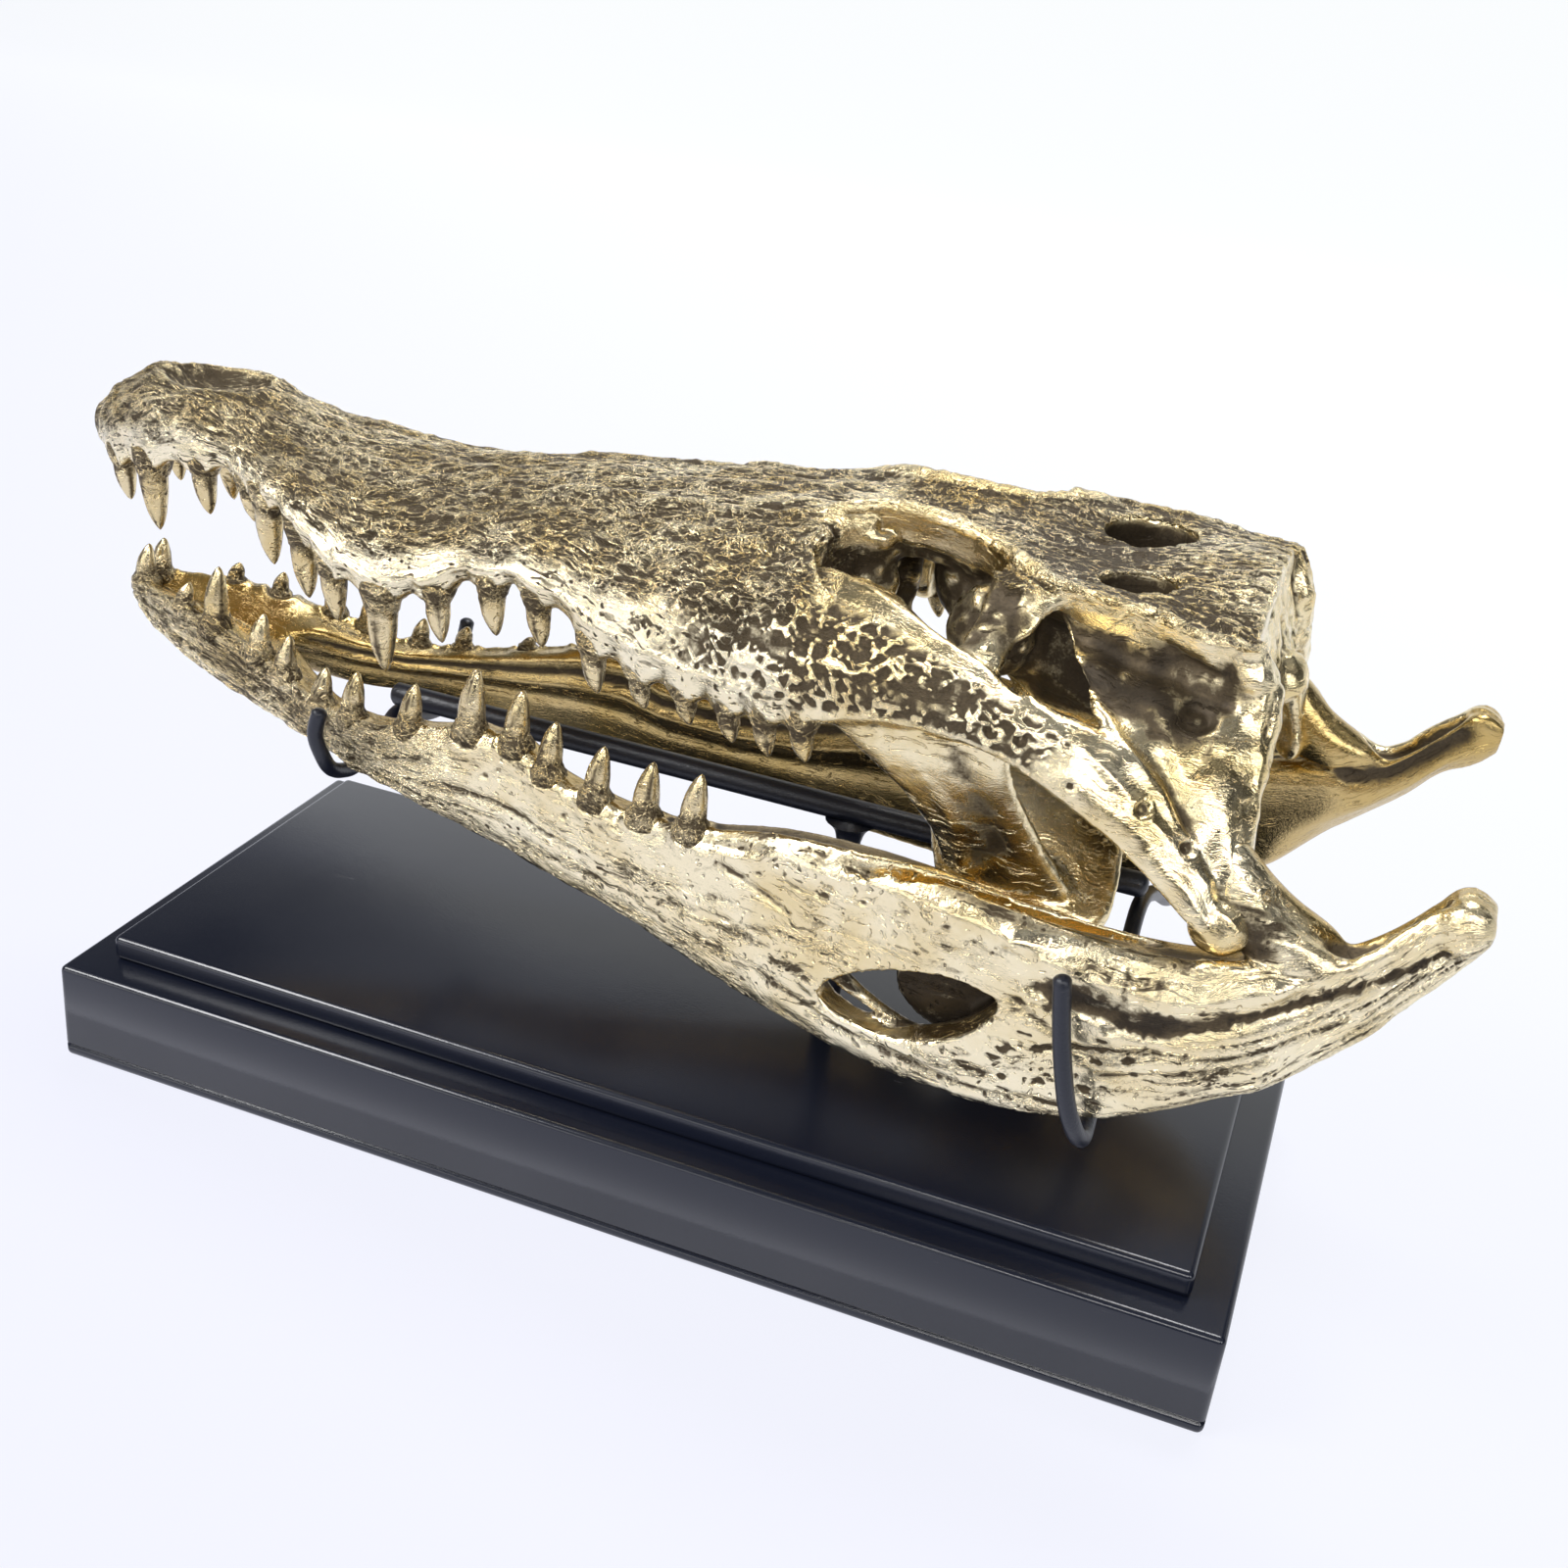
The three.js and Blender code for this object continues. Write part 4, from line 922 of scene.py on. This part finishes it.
gouge *= band(x, 112, 160, 8) * band(height, 0.1, 0.6, 0.08)
relief -= 0.7 * gouge
JAW_PITS = [  # place on one side, radius and depth
    ((62, 73, 134), 1.8, 1), ((74, 75.5, 137), 1.7, 1), ((87, 78, 139), 1.9, 1),
    ((100, 80, 139), 1.7, 0.9), ((40, 68, 133), 1.6, 0.9), ((-60, 48, 130), 1.3, 0.8),
    ((-30, 53, 126), 1.3, 0.8), ((150, 84, 124), 1.3, 0.8),
]
for place, radius, deep in JAW_PITS:
    away = np.linalg.norm((folded - place) * (0.6, 1, 1), axis=1) / radius
    relief -= deep * (1 - ramp(away, 0.45, 1.1))
socket = from_sockets(folded, LOWER_TEETH, JAW, 2)
relief += 0.9 * bell(socket - 1.5, 0.45) - 0.5 * bell(socket - 1.05, 0.22)
ledge = from_line(folded, [(134, 83, 131), (160, 84, 129), (184, 83, 139), (212, 76, 154), (228, 73, 167)])
brushed = lumps(places, (1.3, 4, 14), 103, 2) + 0.5 * lumps(places, 8, 104, 1)
# Painted shadow under the ledge: broad up to x 168, thin behind x 192, with a jagged, brushed edge.
dark_to = np.interp(x, (168, 192), (2.6, 0.5))
bright_from = np.interp(x, (168, 192), (4.4, 1.6))
ledge_shadow = 1 - ramp(ledge + 1.6 * brushed, dark_to, bright_from)
ledge_shadow *= 0.55 + 0.4 * ramp(lumps(straight, (7, 3, 4), 107, 2), -0.5, 0.3)
strokes = outside * ramp(lumps(places, (1.5, 6, 20), 108, 1), 0.05, 0.55)
strokes *= band(x, 137, 174, 5) * band(z - 130, 2, 13, 2)
# Painted shade on the top face of the jaw, where the upper skull hangs over it.
top_face_shade = ramp(out[:, 2], 0.3, 0.7) * ramp(height, 0.8, 0.9)
top_face_shade *= 1 - ramp(side - table_at(JAW, 1, x), -3, -1)
top_face_shade *= band(x, 0, 176, 8) * ramp(lumps(straight, (24, 2, 8), 106, 2), -0.8, 0)
# Lines along which shade is painted: in the channel behind the joint, round the joint's rim and behind the
# teeth.
behind_joint = from_line(folded, [(194, 61, 152), (206, 61, 155), (216, 61, 164), (224, 61, 173)])
joint_rim = from_line(folded, [(194, 71, 157), (204, 68.5, 161), (216, 67, 173)])
behind_teeth = from_line(folded, [(15, 58, 136), (40, 65, 143), (66, 69, 146)])
# The shade mark on the jaw is dark patina in the brushed strokes and the gouges, and painted shade and
# shadow everywhere else: under the ledge, on the top face, under the joint, inside the window, along the top
# of the inner face, in the channel behind the joint, round the joint's rim, behind the teeth and round the
# sockets.
shade = np.maximum.reduce([
    ledge_shadow,
    0.55 * strokes,
    0.6 * top_face_shade,
    0.8 * within((176, 74, 161), (15, 13, 8)),
    1.1 * within((93, 60, 110), (36, 10.5, 20)),
    0.6 * inner_face * bell(height - 0.8, 0.07),
    0.7 * bell(behind_joint, 5),
    0.7 * bell(joint_rim, 3.6),
    0.55 * (1 - ramp(upper - z, 1, 4)) * (1 - outside) * band(x, 20, 150, 8),
    0.6 * bell(behind_teeth, 3),
    0.5 * (1 - ramp(socket, 1.2, 2.1)),
    0.3 * gouge,
])
places += out * relief[:, None]
# The rear end of the right side is slimmer from below.
places[:, 2] += 9 * (y > 0) * band(x, 185, 228, 10) * (1 - ramp(height, 0, 0.6))
put_places(mandible, places)
worn = low_half * ramp(-streaks, 0.0, 0.5) * (1 - front)
put_mark(mandible, "bark", outside * (0.8 * front + 0.4 * worn))
put_mark(mandible, "pitted", 0.5 * gouge)
rough = ramp(lumps(places, (40, 14, 14), 105, 2) - 0.9 * ramp(height, 0.35, 0.7), -0.5, 0.4)
put_mark(mandible, "lip", outside * ((1 - front) * (0.3 + 0.55 * rough) + 0.4 * front))
# The faces turned inwards get the inner mark's deeper gold, painted reflection of brass on brass and painted
# shade.
put_mark(mandible, "inner", 1 - outside)
put_mark(mandible, "shade", shade)
put_along(mandible, straight)
mark_hollows(mandible)
thinned(mandible, most=150000)
coated(mandible, brass)
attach(mandible, "root")
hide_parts("jaw_front_left", "jaw_front_right", "jaw_rear_left", "jaw_rear_right")

# ------------------------------------------------------------ teeth
# Conical teeth, cast in one with their jaws and standing in raised sockets.
# They are filed and polished smooth, so they shine more than the bone.


def tooth_spots(teeth, table, gum_column):
    """Place at the gum, length and half-thickness of every tooth of a jaw."""
    spots = []
    for x, left, *right in teeth:
        for side, length in ((1, right[0] if right else left), (-1, left)):
            y = side * (table_at(table, 1, x) - TOOTH_INSET)
            spots.append((x, y, table_at(table, gum_column, x), length, half_thickness(length)))
    return spots


COLLAR = {-1: 0.22, 1: 0.16}  # share of the length that is socket, of an upper and a lower tooth
CROWN = (0.12, 0.3, 0.5, 0.68, 0.83, 0.94, 1)  # shares of the crown's length, up to its tip


def tooth(x, y, gum, length, thick, way):
    """A rough column of socket with a faceted crown standing in it."""
    side = math.copysign(1, y)
    collar = COLLAR[way] * length
    crown = length - collar
    neck = [(-4, 1.5), (0, 1.42), (0.5 * collar, 1.22), (collar - 0.3, 1.1), (collar, 1.0)]
    point = [(collar + t * crown, 0.94 * (1 - t ** 2.1) ** 0.72 + 0.05) for t in CROWN]
    rings = []
    for reach, radius in neck + point:
        out = max(reach / length, 0)
        ring = oval_ring(x + 1.9 * out ** 2, y + side * (0.06 * reach - 0.9 * out ** 2), gum + way * reach,
                         1.1 * thick * radius, 0.98 * thick * radius, 12)
        rings.append(ring)
    return skin("tooth", rings, around=1, along=1)


def tooth_set(name, spots, way):
    """All teeth of one jaw as one piece; way is 1 for teeth that stand up and -1 for those that hang."""
    bm = bmesh.new()
    for spot in spots:
        one = tooth(*spot, way)
        bm.from_mesh(one.data)
        bpy.data.objects.remove(one)
    return keep(name, bm)


upper_spots = tooth_spots(UPPER_TEETH, SNOUT, 3)
lower_spots = tooth_spots(LOWER_TEETH, JAW, 2)
upper_teeth = tooth_set("upper_teeth", upper_spots, -1)
lower_teeth = tooth_set("lower_teeth", lower_spots, 1)
# The teeth carry part of the inner mark's deeper gold all over, the painted reflection of brass on brass.
brass_teeth = brass_finish(
    "brass_teeth", {"Along": "Object", "Pitted": 0, "Lip": 0.25, "Inner": 0.45, "Shade": 0})
for piece, table, column, nodes in (
        (upper_teeth, SNOUT, 3, ["snout"]), (lower_teeth, JAW, 2, ["jaw_front_left", "jaw_front_right"])):
    places, out, _ = surface_of(piece)
    reach = np.abs(places[:, 2] - table_at(table, column, places[:, 0]))
    rough = lumps(places, (1.6, 1.6, 3.2), 111, 2)
    collar = 1 - ramp(reach, 4, 7)
    put_places(piece, places + out * (0.12 + 0.22 * collar)[:, None] * rough[:, None])
    facets = np.abs(np.sin(3 * np.arctan2(out[:, 1], out[:, 0]) + 0.4 * places[:, 0]))
    put_mark(piece, "hollow", 0.3 * collar + 0.65 * (1 - ramp(facets, 0.1, 0.5)) * (1 - collar) - 0.06)
    put_mark(piece, "bark", 0.45 * collar)
    coated(piece, brass_teeth)
    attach(piece, "root")
    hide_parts(*nodes)

# ------------------------------------------------------------ plinth
# A solid wooden board with a thinner board glued on it, both lacquered satin black.
# The edges are rounded over, and a fine saw line runs round the foot.
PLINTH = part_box("stand_plinth")
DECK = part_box("stand_deck")


def board(name, low, high, edge, groove=()):
    """A board with rounded edges and, between two levels, a saw line all round."""
    bm = bmesh.new()
    bmesh.ops.create_cube(bm, size=1)
    size = high - low
    place = Matrix.Translation((low + high) / 2) @ Matrix.Diagonal((*size, 1))
    bmesh.ops.transform(bm, matrix=place, verts=bm.verts)
    bmesh.ops.bevel(bm, geom=bm.edges, offset=edge, segments=5, profile=0.5, affect="EDGES", material=-1)
    for level in groove:
        everything = bm.verts[:] + bm.edges[:] + bm.faces[:]
        bmesh.ops.bisect_plane(bm, geom=everything, dist=1e-7, plane_co=(0, 0, level), plane_no=(0, 0, 1))
    if groove:
        sawn = [face for face in bm.faces if groove[0] < face.calc_center_median().z < groove[1]]
        bmesh.ops.inset_region(bm, faces=sawn, thickness=0.1 * MM, depth=-1.0 * MM, use_even_offset=True)
    return keep(name, bm)


ROUNDING = 2.2 * MM
SAW_LINE = (4.2 * MM, 5.4 * MM)
GLUE_LINE = Vector((0, 0, 0.3 * MM))
plinth = board("plinth", *PLINTH, ROUNDING, SAW_LINE)
deck = board("deck", DECK[0] - GLUE_LINE, DECK[1], ROUNDING)

# Black paint on wood and on steel: softly uneven, with a fine grain and a few long scuffs.
paint, given, result = group(
    "black_paint", {"Satin": "Float", "Grain": "Float", "Worn": "Float"},
    {"Color": "Color", "Roughness": "Float", "Height": "Float"})
place = node(paint, "TexCoord", {}).outputs["Object"]
broad = cloud(paint, place, 45, 3)
fine = cloud(paint, place, 0.8, 3)
scuff = eased(paint, cloud(paint, place, 3.5, 6, 0.75, (9, 2, 1)), 0.64, 0.72)
scuff = calc(paint, "MULTIPLY", scuff, given["Worn"])
put_out(paint, result, {
    "Color": blend(paint, scuff, (0.007, 0.009, 0.018, 1), (0.045, 0.045, 0.05, 1)),
    "Roughness": total(paint, (given["Satin"], 1.0), (broad, 0.12), (fine, 0.06), (scuff, 0.2)),
    "Height": total(paint, (given["Grain"], fine), (broad, 0.5)),
})


def painted(name, satin, grain, worn):
    """Black paint with its own gloss, grain and amount of scuffs."""
    made, shader, cover = finish_from(paint, name, (0.01, 0.01, 0.014), 0, satin, 0.0002)
    for key, value in (("Satin", satin), ("Grain", grain), ("Worn", worn)):
        cover.inputs[key].default_value = value
    shader.inputs["Specular IOR Level"].default_value = 0.55
    return made


lacquer = painted("black_lacquer", 0.1, 0.12, 0.5)
for piece, solid in ((plinth, "stand_plinth"), (deck, "stand_deck")):
    coated(piece, lacquer)
    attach(piece, "root")
    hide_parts(solid)

# ------------------------------------------------------------ cradle
# Bent steel rods, powder-coated black: an upright in the plinth, a long rod welded to its head and
# two hooks welded under the long rod, in which the lower jaw lies.
FRONT_HOOK = [
    (-120, 48, 137), (-121.5, 48.5, 129), (-120, 47, 121.5), (-119.5, 43, 115.2), (-119.5, 36, 111.3),
    (-119.5, 27, 109.8), (-120, 13, 113), (-120, 0, 119.1),
]
REAR_HOOK = [
    (136, 93, 141), (139, 93.5, 123), (143, 93.5, 106), (146, 92, 97), (148, 87.5, 90.5), (148.5, 80, 87.6),
    (147, 60, 92.5), (145, 30, 109), (143.5, 0, 119.1),
]

DOME = [(1, 0), (0.75, 0.6), (0.35, 0.95)]  # share of the radius and push outwards of an end's rings


def rod(name, points, radius, sides=16, steps=6):
    """A round rod with domed ends along a smooth line."""
    line = between(points, steps)
    run = np.gradient(line, axis=0)
    run /= np.linalg.norm(run, axis=1)[:, None]
    angles = np.linspace(0, 2 * math.pi, sides, endpoint=False)
    rings = []
    up = np.array((0.31, 0.17, 0.93))
    for i, (spot, way) in enumerate(zip(line, run)):
        across = np.cross(up, way)
        across /= np.linalg.norm(across)
        up = np.cross(way, across)
        layers = [(1, 0)]
        if i == 0:
            layers = [(share, -push) for share, push in reversed(DOME)]
        elif i == len(line) - 1:
            layers = DOME
        for share, push in layers:
            centre = spot + push * radius * way * 0.5
            rings.append([
                centre + share * radius * (math.cos(a) * across + math.sin(a) * up) for a in angles])
    return skin(name, rings, around=1, along=1)


def whole_hook(half):
    """Both arms of a hook from one."""
    return half + [(x, -y, z) for x, y, z in half[-2::-1]]


rods = [
    (rod("spine_rod", [(-120, 0, 126), (-32, 0, 126), (56, 0, 126), (143, 0, 126)], 4), "stand_spine"),
    (rod("front_hooks", whole_hook(FRONT_HOOK), 2.6), "stand_front_hooks"),
    (rod("rear_hooks", whole_hook(REAR_HOOK), 2.6), "stand_rear_hooks"),
]
# radius and level of the turned post, from its foot in the deck to its head under the long rod
POST = [
    (4.6, 44.9), (4.2, 45.6), (4, 46.5), (4, 113), (4.3, 116), (5.2, 119), (7.2, 121.5), (8.5, 122.5),
]
post = skin("post", [oval_ring(48, 0, z, r, r, 24) for r, z in POST], around=1, along=3)
rods.append((post, "stand_post"))
powder_coat = painted("black_coat", 0.26, 0.7, 1.0)
for piece, solid in rods:
    coated(piece, powder_coat)
    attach(piece, "root")
    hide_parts(solid)

# ------------------------------------------------------------ room
# A paper sheet lies under the plinth and rises far behind it. It is near black but glows by itself instead
# of being lit, in painted light that is whiter towards the back right and bluer towards the front left. Five
# soft lamps stand round it, and dim, uneven walls give the metal something to mirror.
PAPER_GLOW = 0.95
bm = bmesh.new()
bmesh.ops.create_grid(bm, x_segments=80, y_segments=80, size=4)
for vert in bm.verts:
    vert.co.y += 3.2
    vert.co.z = 0.42 * max(vert.co.y - 2.2, 0) ** 1.6
floor = keep("floor", bm)
paper, paper_shader = material("paper", (0.045, 0.045, 0.05), 0, 0.75)
sheet = paper.node_tree
spot = node(sheet, "SeparateXYZ", {0: node(sheet, "TexCoord", {}).outputs["Object"]}).outputs
# Painted light: the sheet's glow is whiter towards the back right and bluer towards the front left.
painted_glow = eased(sheet, total(sheet, (spot["Y"], 1.0), (spot["X"], 0.7)), -1.1, 1.6)
painted_glow = blend(sheet, painted_glow, (0.81, 0.82, 0.95, 1), (0.97, 0.99, 1, 1))
sheet.links.new(painted_glow, paper_shader.inputs["Emission Color"])
paper_shader.inputs["Emission Strength"].default_value = PAPER_GLOW
coated(floor, paper)


def lamp(name, place, target, size, power, color=(1, 1, 1)):
    """A soft lamp, a rectangle of width and height size, turned towards its target."""
    light = bpy.data.lights.new(name, "AREA")
    light.shape = "RECTANGLE"
    light.size, light.size_y = size
    light.energy = power
    light.color = color
    made = bpy.data.objects.new(name, light)
    scene.collection.objects.link(made)
    made.location = place
    made.rotation_euler = (Vector(target) - Vector(place)).to_track_quat("-Z", "Y").to_euler()


lamp("key", (-1.3, -0.9, 1.5), (0, 0, 0.12), (1.0, 0.7), 34)
lamp("top", (0.1, 0.7, 2.0), (0, 0, 0.15), (1.1, 0.5), 24)
lamp("front", (0.5, -1.9, 1.3), (0, 0, 0.12), (1.3, 0.4), 14, (1, 0.98, 0.95))
lamp("card", (-0.95, -1.85, 0.45), (0, 0, 0.12), (2.2, 0.6), 9, (1, 0.99, 0.97))
lamp("fill", (1.4, -1.1, 0.9), (0, 0, 0.15), (0.4, 0.7), 6, (0.95, 0.97, 1))
world = bpy.data.worlds.new("room")
scene.world = world
world.use_nodes = True
walls = world.node_tree
way = node(walls, "TexCoord", {}).outputs["Generated"]
high = node(walls, "SeparateXYZ", {0: way}).outputs["Z"]
clutter = node(walls, "TexNoise", {"Vector": way, "Scale": 3.2, "Detail": 2.0}).outputs[0]
glow = total(
    walls, (eased(walls, high, -0.05, 0.7, (0.04, 0.3)), eased(walls, clutter, 0.42, 0.58, (0.05, 1.9))))
walls.nodes["Background"].inputs["Color"].default_value = (0.92, 0.94, 1, 1)
walls.links.new(glow, walls.nodes["Background"].inputs["Strength"])

# ------------------------------------------------------------ camera
# It stands on the skull's left, a little to the rear, and looks down on it with a slight lean.
# Turns are in radians, its place in metres and the lens in millimetres.
YAW, PITCH, ROLL = 0.308794491, 0.451613169, 0.112446118
STAND_AT = (0.187535, -0.512966, 0.39034)
LENS = 42.153
forward = Vector((-math.sin(YAW) * math.cos(PITCH), math.cos(YAW) * math.cos(PITCH), -math.sin(PITCH)))
level = Vector((math.cos(YAW), math.sin(YAW), 0))
upright = level.cross(forward)
right = math.cos(ROLL) * level + math.sin(ROLL) * upright
upward = -math.sin(ROLL) * level + math.cos(ROLL) * upright
camera = bpy.data.objects.new("camera", bpy.data.cameras.new("camera"))
scene.collection.objects.link(camera)
turned = Matrix((right, upward, -forward)).transposed().to_4x4()
camera.matrix_world = Matrix.Translation(STAND_AT) @ turned
camera.data.sensor_width = 36
camera.data.lens = LENS
camera.data.clip_start = 0.02
scene.camera = camera
scene.view_settings.view_transform = "Standard"
